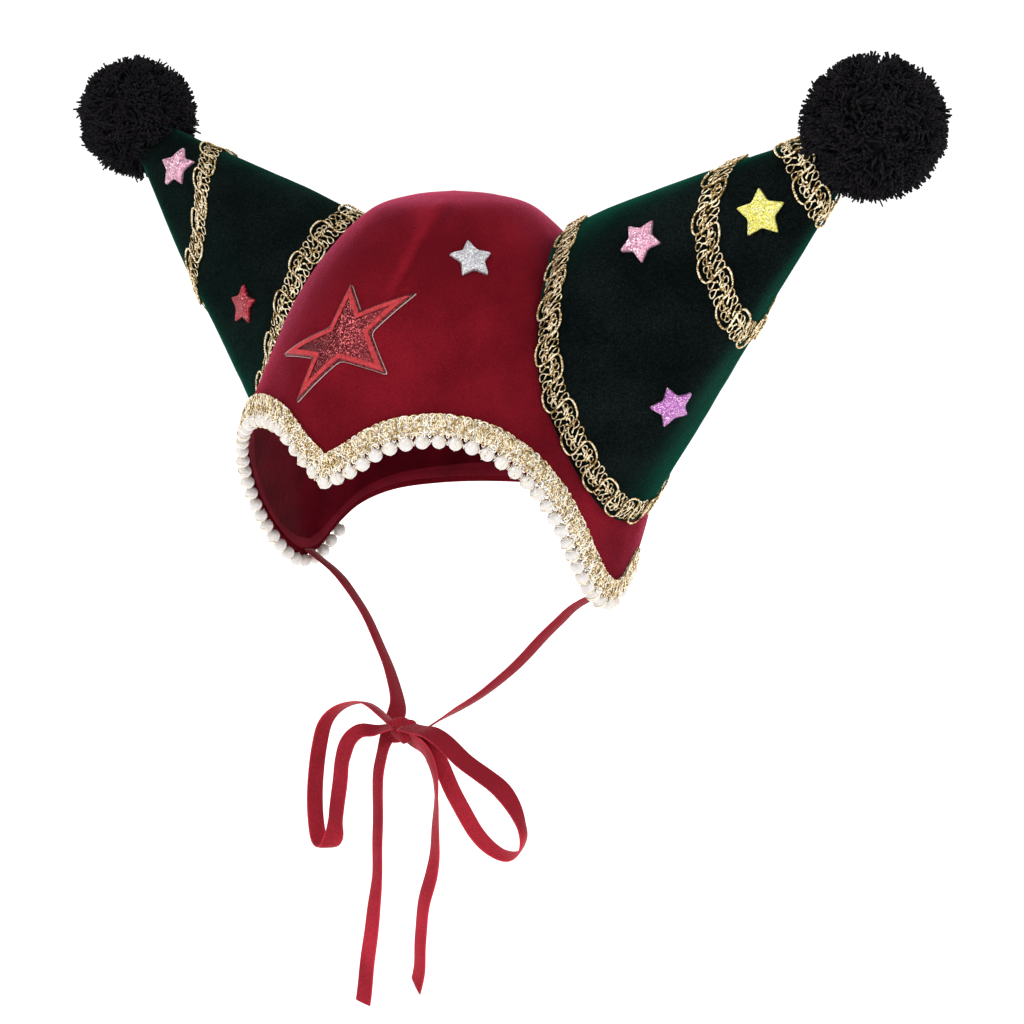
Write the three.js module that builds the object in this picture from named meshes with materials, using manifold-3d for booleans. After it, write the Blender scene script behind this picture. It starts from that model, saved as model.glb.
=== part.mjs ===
// Jester hat with two horns: a velvet cap with cheek flaps, hollow cloth horns ending in
// pompoms, a braid and pearl edge round the face, star patches and ribbon ties in a bow.
// Millimetres. The front is -Y, the wearer's left is +X, up is +Z.
// The origin is the point inside the crown where the head's top sits.

import * as THREE from 'three';
import Module from 'manifold-3d';

// Cloth and clearances
const VELVET = 1.5;
const LINING = 1;
const LINING_EASE = 0.8;
const CLEARANCE = 0.3;

// Crown, measured outside
const HALF_WIDTH = 91.5;
const HALF_LENGTH = 99;
const CAP_DEPTH = 185;

// The flaps stand off the head over this height, between these angles from the front
const FLAP_STAND_OFF = 6;
const FLARE_HEIGHT = 45;
const FLAP_FRONT = { none: 24, full: 56 };
const FLAP_BACK = { full: 86, none: 118 };

// The tuck in the velvet: angles in degrees, its two ends as shares of the cap's depth
const TUCK_DEPTH = 1.6;
const TUCK_ANGLE = 24.5;
const TUCK_WIDTH = 4.5;
const TUCK_TOP = { none: 0.01, full: 0.05 };
const TUCK_FOOT = { full: 0.14, none: 0.24 };

// Horns
const HORN_WALL = 2.5;
const HORN_BASE_HEIGHT = 63;
const HORN_BASE_WIDTH = 52;
const HORN_BASE_SETBACK = 11;
const HORN_BASE_DROP = 85;
const HORN_BASE_PEAK = 1.5;
const HORN_TIP_HEIGHT = 6;
const HORN_TIP_WIDTH = 5;
const HORN_REACH = 199;
const HORN_RISE = 32.5;
const HORN_LEAN = 6.5;
const FLANK_HOLLOW = 0.13;
const HOLLOW_ON_TOP = 0.1;
const FRONT_FULLNESS = 0.14;
const ROOT_SINK = 0.003;

// Trim
const GIMP_WIDTH = 14;
const GIMP_THICKNESS = 1.4;
const GIMP_LIFT = 0.9;
const GIMP_PITCH = 16;
const GIMP_WAVE = 1.6;
const GIMP_EYE = 0.34;
const FACE_BRAID_WIDTH = 8.6;
const FACE_BRAID_THICKNESS = 1.5;
const FACE_BRAID_MARGIN = 0.3;
const FACE_BRAID_LIFT = 0.45;
const TRIM_END_ANGLE = 104;
const PEARL = 5.8;
const PEARL_PITCH = 7.1;
const PEARL_NECK = 1.8;
const PEARL_SHOULDER = 0.22;
const PEARL_SHOULDER_RADIUS = 0.47;
const HEM_SETBACK = 3;

// Pompoms: how far the middle of one lies past its horn's end, above it and behind it
const POMPOM_RADIUS = 31;
const POMPOM_PAST_END = 3.6;
const POMPOM_ABOVE_END = 2.1;
const POMPOM_BEHIND_END = 3;
const POMPOM_HEAD = 0.86;
const LOCK_SPREAD = 0.05;
const BORE_EASE = 1;

// Star patches
const STAR_RADIUS = 9.6;
const STAR_WAIST = 0.5;
const STAR_THICKNESS = 1.4;
const STAR_PUFF = 1;
const STAR_SINK = 1.2;
const BIG_STAR_RADIUS = 38;
const BIG_STAR_THICKNESS = 1.2;

// Ribbon
const RIBBON_WIDTH = 9;
const RIBBON_THICKNESS = 0.9;
const KNOT_WIDTH = 17;
const KNOT_HEIGHT = 15;
const KNOT_THICKNESS = 8;
const KNOT_END = 0.72;

// Faces: columns and rows of the cap, sides of the round pieces, length of a ribbon's step
const FRONT_COLUMNS = 18;
const BACK_COLUMNS = 5;
const FRONT_END = 112;
const CAP_ROWS = 7;
const HORN_SIDES = 20;
const HORN_SHARES = [0, 0.13, 0.32, 0.56, 0.8, 1];
const BEAD_SIDES = 10;
const RIBBON_STEP = 10;

// A cutter that clears a surface reaches this far below it; a star is dropped from this height
const SEAT_DEPTH = 4;
const DROP_HEIGHT = 15;

// Sections of the crown from its top down: shares of the cap's depth, half width and half length.
const SECTIONS = [
  { depth: 0, width: 0, length: 0 },
  { depth: 0.011, width: 0.21, length: 0.21 },
  { depth: 0.043, width: 0.39, length: 0.425 },
  { depth: 0.146, width: 0.59, length: 0.657 },
  { depth: 0.254, width: 0.732, length: 0.808 },
  { depth: 0.351, width: 0.82, length: 0.909 },
  { depth: 0.486, width: 0.902, length: 0.98 },
  { depth: 0.568, width: 0.962, length: 1 },
  { depth: 0.676, width: 1, length: 1 },
  { depth: 0.795, width: 0.985, length: 0.985 },
  { depth: 0.919, width: 0.925, length: 0.94 },
  { depth: 1.02, width: 0.87, length: 0.89 },
];

// The cap's lower edge: the angle from the front, and its depth on each side as a share of the
// cap's depth. The trim sits a little higher over the right brow.
const EDGE = [
  { angle: 0, left: 0.648, right: 0.648 },
  { angle: 8, left: 0.613, right: 0.6 },
  { angle: 18, left: 0.562, right: 0.545 },
  { angle: 28, left: 0.541, right: 0.53 },
  { angle: 38, left: 0.542, right: 0.535 },
  { angle: 47, left: 0.57, right: 0.568 },
  { angle: 56, left: 0.638, right: 0.638 },
  { angle: 64, left: 0.738, right: 0.738 },
  { angle: 71, left: 0.84, right: 0.84 },
  { angle: 78, left: 0.92, right: 0.92 },
  { angle: 86, left: 0.97, right: 0.97 },
  { angle: 94, left: 0.965, right: 0.965 },
  { angle: 102, left: 0.915, right: 0.915 },
  { angle: 111, left: 0.865, right: 0.865 },
  { angle: 122, left: 0.835, right: 0.835 },
  { angle: 140, left: 0.82, right: 0.82 },
  { angle: 180, left: 0.815, right: 0.815 },
];

// The line of each braid: its share of the horn's length at four places round it.
const BRAID_LINES = [
  { name: 'horn_left_base_braid', side: 1, top: 0.09, front: 0.045, bottom: 0.045, back: 0.06 },
  { name: 'horn_left_middle_braid', side: 1, top: 0.64, front: 0.55, bottom: 0.53, back: 0.58 },
  { name: 'horn_left_tip_braid', side: 1, top: 0.81, front: 0.845, bottom: 0.83, back: 0.82 },
  { name: 'horn_right_base_braid', side: -1, top: 0.11, front: 0.045, bottom: 0.045, back: 0.06 },
  { name: 'horn_right_middle_braid', side: -1, top: 0.69, front: 0.53, bottom: 0.46, back: 0.58 },
];

// The big star's tips and the corners between them: degrees from upright, reach as a share.
const BIG_STAR_CORNERS = [
  { turn: -11, reach: 0.7 },
  { turn: 19, reach: 0.39 },
  { turn: 44, reach: 0.96 },
  { turn: 73, reach: 0.35 },
  { turn: 118, reach: 0.69 },
  { turn: 175, reach: 0.37 },
  { turn: 217, reach: 0.94 },
  { turn: 233, reach: 0.49 },
  { turn: 261, reach: 1 },
  { turn: 299, reach: 0.26 },
];

// Ribbon routes, hand-picked points. The left tie starts inside its flap and ends at the knot.
const TIE_ROUTE = [
  [76, -2, -176], [68, -2, -184], [59, -2, -192.5], [43, -5, -210], [28, -13, -226.5],
  [15, -25, -237], [9.5, -36, -242.5],
];
const KNOT_PLACE = [0, -46, -244.5];
const THROAT = [0, 10, -170];
const LOOP_LEFT_ROUTE = [
  [9.5, -50, -241.5], [25.6, -53, -240.5], [48.6, -56, -249.9], [68.2, -58, -261],
  [76.7, -58, -274], [69.6, -56, -288.5], [54.7, -52.5, -290.5], [41.9, -50, -278.3],
  [28, -47.5, -257], [17, -46, -249.5], [9.5, -46, -247],
];
const LOOP_RIGHT_ROUTE = [
  [-9.5, -50, -244], [-19.2, -55, -246.4], [-24.8, -57, -259.3], [-26.6, -58, -282.2],
  [-30.5, -57, -296], [-40.6, -54, -303.5], [-49.8, -50, -296], [-51.1, -47, -276.4],
  [-46.9, -45, -254.5], [-38, -44, -241.5], [-21.1, -43, -237.5], [-9.5, -44, -240.5],
];
const TAIL_RIGHT_ROUTE = [
  [-3.6, -46.1, -252.5], [-4.2, -48.6, -257.5], [-6, -53, -266], [-6.2, -54, -276], [-6, -54, -304.7],
  [-8.5, -54, -331], [-12.2, -54, -357.5], [-14.7, -54, -376.5],
];
const TAIL_LEFT_ROUTE = [
  [5, -46.2, -253.2], [8, -50, -256.5], [15, -57, -256], [23, -62, -255.5], [28.5, -63.5, -261],
  [29.1, -62, -272.7],
  [29.5, -59, -286], [27.6, -56.5, -299], [23.7, -55, -318], [19.1, -55, -337.8],
  [17.4, -55, -353.2], [15.6, -55, -362.9],
];

// From the face of the velvet to the face of the lining, where the origin is
const CROWN_TOP = VELVET + LINING_EASE + LINING;
const DEGREE = Math.PI / 180;
const UP = new THREE.Vector3(0, 0, 1);

const wasm = await Module();
wasm.setup();

// Small helpers

function vec(list) {
  return new THREE.Vector3(...list);
}

function smooth(low, high, value) {
  return THREE.MathUtils.smoothstep(value, low, high);
}

// Turns a table of two columns into a smooth function of the first one.
function smoothTable(rows, x, y) {
  const curve = new THREE.CatmullRomCurve3(rows.map((row) => new THREE.Vector3(row[x], row[y], 0)));
  return lookUp(curve.getPoints(rows.length * 20), (point) => point.x);
}

// Finds the point between two listed ones where the key has a given value.
function lookUp(points, key) {
  return (value) => {
    let low = 0;
    let high = points.length - 1;
    while (high - low > 1) {
      const middle = (low + high) >> 1;
      if (key(points[middle]) <= value) low = middle;
      else high = middle;
    }
    const span = key(points[high]) - key(points[low]);
    return points[low].clone().lerp(points[high], span > 0 ? (value - key(points[low])) / span : 0);
  };
}

// Closed bodies

// Builds an indexed geometry, merges equal corners and turns its faces outward.
function closedBody(triangles) {
  const places = [];
  const index = [];
  const seen = new Map();
  const cornerOf = (point) => {
    const key = [point.x, point.y, point.z].map((value) => Math.round(value * 1e4)).join();
    if (!seen.has(key)) {
      seen.set(key, places.length / 3);
      places.push(point.x, point.y, point.z);
    }
    return seen.get(key);
  };
  let volume = 0;
  for (const [a, b, c] of triangles) {
    const corners = [cornerOf(a), cornerOf(b), cornerOf(c)];
    if (new Set(corners).size < 3) continue;
    index.push(...corners);
    volume += a.dot(b.clone().cross(c));
  }
  if (volume < 0) index.reverse();
  const body = new THREE.BufferGeometry();
  body.setAttribute('position', new THREE.Float32BufferAttribute(places, 3));
  body.setIndex(index);
  return body;
}

function quad(a, b, c, d) {
  return [[a, b, c], [a, c, d]];
}

// A sheet between two grids of points, closed round its free edges and its holes.
function sheetBody(outer, inner, { ring = false, hole = () => false } = {}) {
  const columns = outer.length;
  const rows = outer[0].length;
  const cells = ring ? columns : columns - 1;
  const filled = (i, j) => {
    if (j < 0 || j >= rows - 1) return false;
    if (!ring && (i < 0 || i >= cells)) return false;
    return !hole((i + cells) % cells, j);
  };
  const triangles = [];
  const wall = (i, j, k, l) => triangles.push(...quad(outer[i][j], inner[i][j], inner[k][l], outer[k][l]));
  for (let i = 0; i < cells; i += 1) {
    const next = (i + 1) % columns;
    for (let j = 0; j < rows - 1; j += 1) {
      if (!filled(i, j)) continue;
      triangles.push(...quad(outer[i][j], outer[next][j], outer[next][j + 1], outer[i][j + 1]));
      triangles.push(...quad(inner[i][j], inner[i][j + 1], inner[next][j + 1], inner[next][j]));
      if (!filled(i, j - 1)) wall(i, j, next, j);
      if (!filled(i, j + 1)) wall(next, j + 1, i, j + 1);
      if (!filled(i - 1, j)) wall(i, j + 1, i, j);
      if (!filled(i + 1, j)) wall(next, j, next, j + 1);
    }
  }
  return closedBody(triangles);
}

// A solid through a row of closed rings, with flat ends.
function loftBody(rings) {
  const triangles = [];
  const sides = rings[0].length;
  for (let i = 0; i < rings.length - 1; i += 1) {
    for (let j = 0; j < sides; j += 1) {
      const next = (j + 1) % sides;
      triangles.push(...quad(rings[i][j], rings[i][next], rings[i + 1][next], rings[i + 1][j]));
    }
  }
  for (const [ring, turned] of [[rings[0], true], [rings[rings.length - 1], false]]) {
    for (let j = 1; j < sides - 1; j += 1) {
      triangles.push(turned ? [ring[0], ring[j + 1], ring[j]] : [ring[0], ring[j], ring[j + 1]]);
    }
  }
  return closedBody(triangles);
}

function toSolid(body) {
  return new wasm.Manifold(new wasm.Mesh({
    numProp: 3,
    vertProperties: new Float32Array(body.attributes.position.array),
    triVerts: new Uint32Array(body.index.array),
  }));
}

function fromSolid(solid) {
  const mesh = solid.getMesh();
  const body = new THREE.BufferGeometry();
  body.setAttribute('position', new THREE.Float32BufferAttribute(Array.from(mesh.vertProperties), 3));
  body.setIndex(Array.from(mesh.triVerts));
  return body;
}

function cut(body, cutter) {
  return fromSolid(toSolid(body).subtract(toSolid(cutter)));
}

// Crown

const crownCurve = new THREE.CatmullRomCurve3(SECTIONS.map((row) => new THREE.Vector3(
  row.width * HALF_WIDTH,
  row.length * HALF_LENGTH,
  row.depth * CAP_DEPTH,
))).getPoints(360);
const sectionAt = lookUp(crownCurve, (point) => point.z);
const leftEdge = smoothTable(EDGE, 'angle', 'left');
const rightEdge = smoothTable(EDGE, 'angle', 'right');

function edgeDepth(angle) {
  return (angle > 0 ? leftEdge : rightEdge)(Math.abs(angle)).y * CAP_DEPTH;
}

// How far the flaps stand off the head near their front edge.
function standOff(angle, depth) {
  const turn = Math.abs(angle);
  const ahead = smooth(FLAP_FRONT.none, FLAP_FRONT.full, turn);
  const behind = 1 - smooth(FLAP_BACK.full, FLAP_BACK.none, turn);
  const low = smooth(-FLARE_HEIGHT, 0, depth - edgeDepth(angle));
  return FLAP_STAND_OFF * ahead * behind * low;
}

// The tuck in the velvet on the front of the crown.
function tuck(angle, depth) {
  const across = (angle - TUCK_ANGLE) / TUCK_WIDTH;
  const share = depth / CAP_DEPTH;
  const above = smooth(TUCK_TOP.none, TUCK_TOP.full, share);
  const below = 1 - smooth(TUCK_FOOT.full, TUCK_FOOT.none, share);
  return TUCK_DEPTH * Math.exp(-across * across) * above * below;
}

function capPoint(angle, depth) {
  const section = sectionAt(depth);
  const swell = standOff(angle, depth) - tuck(angle, depth);
  const turn = angle * DEGREE;
  return new THREE.Vector3(
    (section.x + swell) * Math.sin(turn),
    -(section.y + swell) * Math.cos(turn),
    CROWN_TOP - depth,
  );
}

function capNormal(angle, depth) {
  if (depth < 0.05) return UP.clone();
  const across = capPoint(angle + 1, depth).sub(capPoint(angle - 1, depth));
  const down = capPoint(angle, depth + 0.5).sub(capPoint(angle, Math.max(depth - 0.5, 0)));
  return down.cross(across).normalize();
}

function capLifted(angle, depth, lift) {
  return capPoint(angle, depth).addScaledVector(capNormal(angle, depth), lift);
}

// The surface point of the cap level with a given point, and its place there.
function capPlace(point) {
  const depth = CROWN_TOP - point.z;
  const section = sectionAt(depth);
  return { angle: Math.atan2(point.x / section.x, -point.y / section.y) / DEGREE, depth };
}

// Column angles, closer together over the face and flaps than at the back.
const half = [];
for (let i = 0; i < FRONT_COLUMNS; i += 1) half.push((i * FRONT_END) / FRONT_COLUMNS);
for (let i = 0; i <= BACK_COLUMNS; i += 1) half.push(FRONT_END + (i * (180 - FRONT_END)) / BACK_COLUMNS);
const COLUMN_ANGLES = [...half.slice(1, -1).reverse().map((angle) => -angle), ...half];

// Depths of the rows down one column, evenly spaced along the cloth.
function rowDepths(angle, bottom) {
  const run = [{ length: 0, depth: 0 }];
  const steps = 60;
  for (let i = 1; i <= steps; i += 1) {
    const depth = (bottom * i) / steps;
    const step = capPoint(angle, depth).distanceTo(capPoint(angle, run[i - 1].depth));
    run.push({ length: run[i - 1].length + step, depth });
  }
  const total = run[steps].length;
  const depthAt = lookUp(run.map((row) => new THREE.Vector3(row.length, row.depth, 0)), (row) => row.x);
  return Array.from({ length: CAP_ROWS + 1 }, (_, j) => (j === 0 ? 0 : depthAt((total * j) / CAP_ROWS).y));
}

function capGrid(angles, lift, setback) {
  return angles.map((angle) => rowDepths(angle, edgeDepth(angle))
    .map((depth, j) => capLifted(angle, j === CAP_ROWS ? depth - setback : depth, lift)));
}

function capBody() {
  return sheetBody(capGrid(COLUMN_ANGLES, 0, 0), capGrid(COLUMN_ANGLES, -VELVET, 0), { ring: true });
}

// The lining takes every second column, so its flats lie inside those of the velvet.
function liningBody() {
  const middle = COLUMN_ANGLES.indexOf(0);
  const angles = COLUMN_ANGLES.filter((_, i) => (i - middle) % 2 === 0);
  const outer = capGrid(angles, -VELVET - LINING_EASE, HEM_SETBACK);
  const inner = capGrid(angles, -CROWN_TOP, HEM_SETBACK);
  return sheetBody(outer, inner, { ring: true });
}

// The space that a piece on the cap must stay out of.
function capSeat() {
  const inner = capGrid(COLUMN_ANGLES, -SEAT_DEPTH, 0);
  return sheetBody(capGrid(COLUMN_ANGLES, CLEARANCE, 0), inner, { ring: true });
}

// Horns

// The place round a horn is an angle from its front over its top.
function hornBase(turn) {
  const peak = turn % (2 * Math.PI) < Math.PI ? HORN_BASE_PEAK : 1;
  const across = Math.sign(Math.cos(turn)) * Math.abs(Math.cos(turn)) ** peak;
  const y = HORN_BASE_SETBACK - HORN_BASE_WIDTH * across;
  const z = CROWN_TOP - HORN_BASE_DROP + HORN_BASE_HEIGHT * Math.sin(turn);
  const section = sectionAt(CROWN_TOP - z);
  const x = section.x * Math.sqrt(Math.max(1 - (y / section.y) ** 2, 0));
  const { angle, depth } = capPlace(new THREE.Vector3(x, y, z));
  return capPoint(angle, depth);
}

const hornRoot = hornBase(0).add(hornBase(Math.PI)).multiplyScalar(0.5);
const hornEnd = new THREE.Vector3(HORN_REACH, HORN_LEAN, HORN_RISE);
const hornAxis = hornEnd.clone().sub(hornRoot).normalize();
const hornRib = new THREE.Vector3(-hornAxis.z, 0, hornAxis.x).normalize();

function hornPoint(turn, share) {
  const base = hornBase(turn);
  const tip = hornEnd.clone()
    .addScaledVector(hornRib, HORN_TIP_HEIGHT * Math.sin(turn))
    .add(new THREE.Vector3(0, -HORN_TIP_WIDTH * Math.cos(turn), 0));
  const middle = hornRoot.clone().lerp(hornEnd, share);
  const around = THREE.MathUtils.mapLinear(Math.sin(turn), -1, 1, 1, HOLLOW_ON_TOP);
  const hollow = FLANK_HOLLOW * (27 / 4) * share * (1 - share) ** 2 * around;
  const quarter = Math.cos(turn) > 0 ? Math.sin(2 * turn) ** 2 : 0;
  const fullness = FRONT_FULLNESS * quarter * 4 * share * (1 - share);
  return base.lerp(tip, share).lerp(middle, hollow - fullness);
}

function hornNormal(turn, share) {
  const around = hornPoint(turn + 0.02, share).sub(hornPoint(turn - 0.02, share));
  const along = hornPoint(turn, Math.min(share + 0.01, 1)).sub(hornPoint(turn, Math.max(share - 0.01, 0)));
  return along.cross(around).normalize();
}

function hornLifted(turn, share, lift) {
  return hornPoint(turn, share).addScaledVector(hornNormal(turn, share), lift);
}

function hornGrid(lift, shares) {
  return Array.from({ length: HORN_SIDES }, (_, i) => {
    const turn = (i / HORN_SIDES) * 2 * Math.PI;
    const run = shares.map((share) => hornLifted(turn, share, lift));
    run.push(hornEnd.clone().addScaledVector(hornAxis, lift));
    return run;
  });
}

// A cloth cone, open at its base and trimmed there to the crown.
function hornBody(side) {
  const root = [-ROOT_SINK, ...HORN_SHARES.slice(1)];
  const cone = sheetBody(hornGrid(0, root), hornGrid(-HORN_WALL, root), { ring: true });
  return cut(side > 0 ? cone : mirrored(cone), capSeat());
}

// A stretch of the horn as a plain solid, grown by a clearance, to cut a socket with.
function hornPlug(lift, shares) {
  const grid = hornGrid(lift + BORE_EASE, shares).filter((_, i) => i % 2 === 0);
  const rings = shares.map((_, j) => grid.map((run) => run[j]));
  rings.push(rings[rings.length - 1].map((point) => point.clone().addScaledVector(hornAxis, CLEARANCE)));
  return loftBody(rings);
}

// Braids on the horns

function lineShare(line, turn) {
  const over = Math.sin(turn);
  const ahead = Math.cos(turn);
  const upright = over > 0 ? line.top : line.bottom;
  const level = ahead > 0 ? line.front : line.back;
  return upright * over * over + level * ahead * ahead;
}

// Turns round the horn that divide the braid's line into equal lengths.
function evenTurns(line, count) {
  const steps = 360;
  const run = [new THREE.Vector3(0, 0, 0)];
  for (let i = 1; i <= steps; i += 1) {
    const turn = (i / steps) * 2 * Math.PI;
    const before = run[i - 1].y;
    const place = hornPoint(turn, lineShare(line, turn));
    const step = place.distanceTo(hornPoint(before, lineShare(line, before)));
    run.push(new THREE.Vector3(run[i - 1].x + step, turn, 0));
  }
  const total = run[steps].x;
  const turnAt = lookUp(run, (row) => row.x);
  return { total, turns: Array.from({ length: count }, (_, i) => turnAt((total * i) / count).y) };
}

// A scalloped band with one eye in each scallop.
function gimpBody(line) {
  const repeats = Math.round(evenTurns(line, 2).total / GIMP_PITCH);
  const { turns } = evenTurns(line, repeats * 2);
  const lanes = [-0.5, -GIMP_EYE / 2, GIMP_EYE / 2, 0.5];
  const grid = (lift) => turns.map((turn, i) => {
    const length = hornPoint(turn, 0).distanceTo(hornPoint(turn, 1));
    const wave = (i % 2 === 0 ? 0.5 : -0.5) * GIMP_WAVE;
    return lanes.map((lane) => {
      const share = lineShare(line, turn) + (lane * (GIMP_WIDTH - GIMP_WAVE) + wave) / length;
      return hornLifted(turn, share, lift);
    });
  });
  const hole = (i, j) => j === 1 && i % 2 === 0;
  return sheetBody(grid(GIMP_LIFT + GIMP_THICKNESS), grid(GIMP_LIFT), { ring: true, hole });
}

// Pompom: a head with a blunt lock raised from each of its facets

function pompomBody(braid) {
  const ball = new THREE.IcosahedronGeometry(1, 1);
  const spots = ball.attributes.position;
  const corner = (i) => new THREE.Vector3().fromBufferAttribute(spots, i).normalize();
  const triangles = [];
  for (let i = 0; i < spots.count; i += 3) {
    const [a, b, c] = [corner(i), corner(i + 1), corner(i + 2)];
    const unevenness = LOCK_SPREAD * Math.sin(i * 2.4);
    const top = a.clone().add(b).add(c).normalize().multiplyScalar(POMPOM_RADIUS * (1 + unevenness));
    const feet = [a, b, c].map((point) => point.multiplyScalar(POMPOM_RADIUS * POMPOM_HEAD));
    feet.forEach((foot, j) => triangles.push([foot, feet[(j + 1) % 3], top]));
  }
  const body = closedBody(triangles);
  const middle = hornEnd.clone()
    .add(new THREE.Vector3(POMPOM_PAST_END, POMPOM_BEHIND_END, POMPOM_ABOVE_END));
  body.translate(middle.x, middle.y, middle.z);
  const bored = cut(body, hornPlug(CLEARANCE, HORN_SHARES.slice(-3)));
  if (!braid) return bored;
  const furthest = Math.max(braid.top, braid.front, braid.bottom, braid.back);
  const reach = furthest + (0.5 * GIMP_WIDTH + 2 * CLEARANCE) / hornRoot.distanceTo(hornEnd);
  return cut(bored, hornPlug(GIMP_LIFT + GIMP_THICKNESS + CLEARANCE, [HORN_SHARES[3], reach]));
}

// Edge of the face: braid on the velvet and a string of pearls just beyond it

const trimColumns = COLUMN_ANGLES.filter((angle) => Math.abs(angle) < TRIM_END_ANGLE);
const edgePath = [-TRIM_END_ANGLE, ...trimColumns, TRIM_END_ANGLE].map((angle) => {
  const depth = edgeDepth(angle);
  return { place: capPoint(angle, depth), normal: capNormal(angle, depth) };
});
edgePath.forEach((spot, i) => {
  const before = edgePath[Math.max(i - 1, 0)];
  const after = edgePath[Math.min(i + 1, edgePath.length - 1)];
  const along = after.place.clone().sub(before.place);
  spot.inward = spot.normal.clone().cross(along).normalize();
});

function faceBraidBody() {
  const lanes = [FACE_BRAID_MARGIN, FACE_BRAID_MARGIN + FACE_BRAID_WIDTH];
  const grid = (lift) => edgePath.map((spot) => lanes.map((lane) => {
    const { angle, depth } = capPlace(spot.place.clone().addScaledVector(spot.inward, lane));
    return capLifted(angle, depth, lift);
  }));
  return sheetBody(grid(FACE_BRAID_LIFT + FACE_BRAID_THICKNESS), grid(FACE_BRAID_LIFT));
}

// One string: bead after bead along the path, joined by thin necks.
function pearlStringBody() {
  const drop = PEARL / 2 + CLEARANCE;
  const centres = edgePath.map((spot) => spot.place.clone()
    .addScaledVector(spot.inward, -drop)
    .addScaledVector(spot.normal, -VELVET / 2));
  const path = new THREE.CurvePath();
  centres.slice(1).forEach((centre, i) => path.add(new THREE.LineCurve3(centres[i], centre)));
  const total = path.getLength();
  const count = Math.floor(total / PEARL_PITCH);
  const pitch = total / count;
  const shoulder = PEARL * PEARL_SHOULDER;
  const rings = [];
  const addRing = (run, radius) => {
    const share = THREE.MathUtils.clamp(run / total, 0, 1);
    const place = path.getPointAt(share);
    const ahead = path.getPointAt(Math.min(share + 0.004, 1));
    const along = ahead.sub(path.getPointAt(Math.max(share - 0.004, 0))).normalize();
    const side = UP.clone().cross(along).normalize();
    const rise = along.clone().cross(side);
    rings.push(Array.from({ length: BEAD_SIDES }, (_, i) => {
      const turn = (i / BEAD_SIDES) * 2 * Math.PI;
      return place.clone()
        .addScaledVector(side, radius * Math.cos(turn))
        .addScaledVector(rise, radius * Math.sin(turn));
    }));
  };
  for (let i = 0; i < count; i += 1) {
    const middle = (i + 0.5) * pitch;
    addRing(middle - pitch / 2, PEARL_NECK / 2);
    addRing(middle - shoulder, PEARL * PEARL_SHOULDER_RADIUS);
    addRing(middle + shoulder, PEARL * PEARL_SHOULDER_RADIUS);
  }
  addRing(total, PEARL_NECK / 2);
  return loftBody(rings);
}

// Star patches

const ray = new THREE.Raycaster();

// Drops a point straight onto the carrier's faces.
function settle(carrier, point, normal) {
  ray.set(point.clone().addScaledVector(normal, DROP_HEIGHT), normal.clone().negate());
  const hit = ray.intersectObject(carrier)[0];
  return hit ? hit.point : point;
}

// A star of five points in its own plane, ring by ring from the middle out.
function starGrid(corners, radius, splits, rings, turned) {
  const marks = corners.map(({ turn, reach }) => new THREE.Vector2(
    Math.sin((turn + turned) * DEGREE),
    Math.cos((turn + turned) * DEGREE),
  ).multiplyScalar(reach * radius));
  return Array.from({ length: corners.length * splits }, (_, i) => {
    const from = marks[Math.floor(i / splits)];
    const to = marks[(Math.floor(i / splits) + 1) % marks.length];
    const edge = from.clone().lerp(to, (i % splits) / splits);
    return rings.map((ring) => edge.clone().multiplyScalar(ring));
  });
}

function starBody(carrier, seat, spot, size) {
  const right = UP.clone().cross(spot.normal).normalize();
  const above = spot.normal.clone().cross(right);
  const flat = starGrid(size.corners, size.radius, size.splits, size.rings, spot.turned);
  const lay = (lift, puff) => flat.map((run) => run.map((mark, j) => {
    const raw = spot.place.clone().addScaledVector(right, mark.x).addScaledVector(above, mark.y);
    const base = settle(carrier, raw, spot.normal);
    return base.addScaledVector(spot.normal, lift + puff * (1 - size.rings[j]));
  }));
  const front = lay(CLEARANCE + size.thickness, size.puff);
  const body = sheetBody(front, lay(-STAR_SINK, 0), { ring: true });
  return cut(body, seat);
}

const SMALL_STAR = {
  corners: Array.from({ length: 10 }, (_, i) => ({ turn: i * 36, reach: i % 2 ? STAR_WAIST : 1 })),
  radius: STAR_RADIUS,
  thickness: STAR_THICKNESS,
  puff: STAR_PUFF,
  splits: 1,
  rings: [0, 1],
};
const BIG_STAR = {
  corners: BIG_STAR_CORNERS,
  radius: BIG_STAR_RADIUS,
  thickness: BIG_STAR_THICKNESS,
  puff: 0,
  splits: 2,
  rings: [0, 0.5, 1],
};

function capSpot(angle, depthShare, turned) {
  const depth = depthShare * CAP_DEPTH;
  return { place: capPoint(angle, depth), normal: capNormal(angle, depth), turned };
}

function hornSpot(turnDegrees, share, turned) {
  const turn = turnDegrees * DEGREE;
  return { place: hornPoint(turn, share), normal: hornNormal(turn, share), turned };
}

// Ribbons

// A flat band along a curve, its width across the curve and square to the way it faces.
function ribbonBody(route, facing) {
  const curve = new THREE.CatmullRomCurve3(route.map(vec));
  const steps = Math.ceil(curve.getLength() / RIBBON_STEP);
  const rings = [];
  for (let i = 0; i <= steps; i += 1) {
    const place = curve.getPointAt(i / steps);
    const along = curve.getTangentAt(i / steps);
    const across = along.clone().cross(facing(place)).normalize().multiplyScalar(RIBBON_WIDTH / 2);
    const outward = across.clone().cross(along).normalize().multiplyScalar(RIBBON_THICKNESS / 2);
    rings.push([
      place.clone().add(across).add(outward),
      place.clone().sub(across).add(outward),
      place.clone().sub(across).sub(outward),
      place.clone().add(across).sub(outward),
    ]);
  }
  return loftBody(rings);
}

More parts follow.
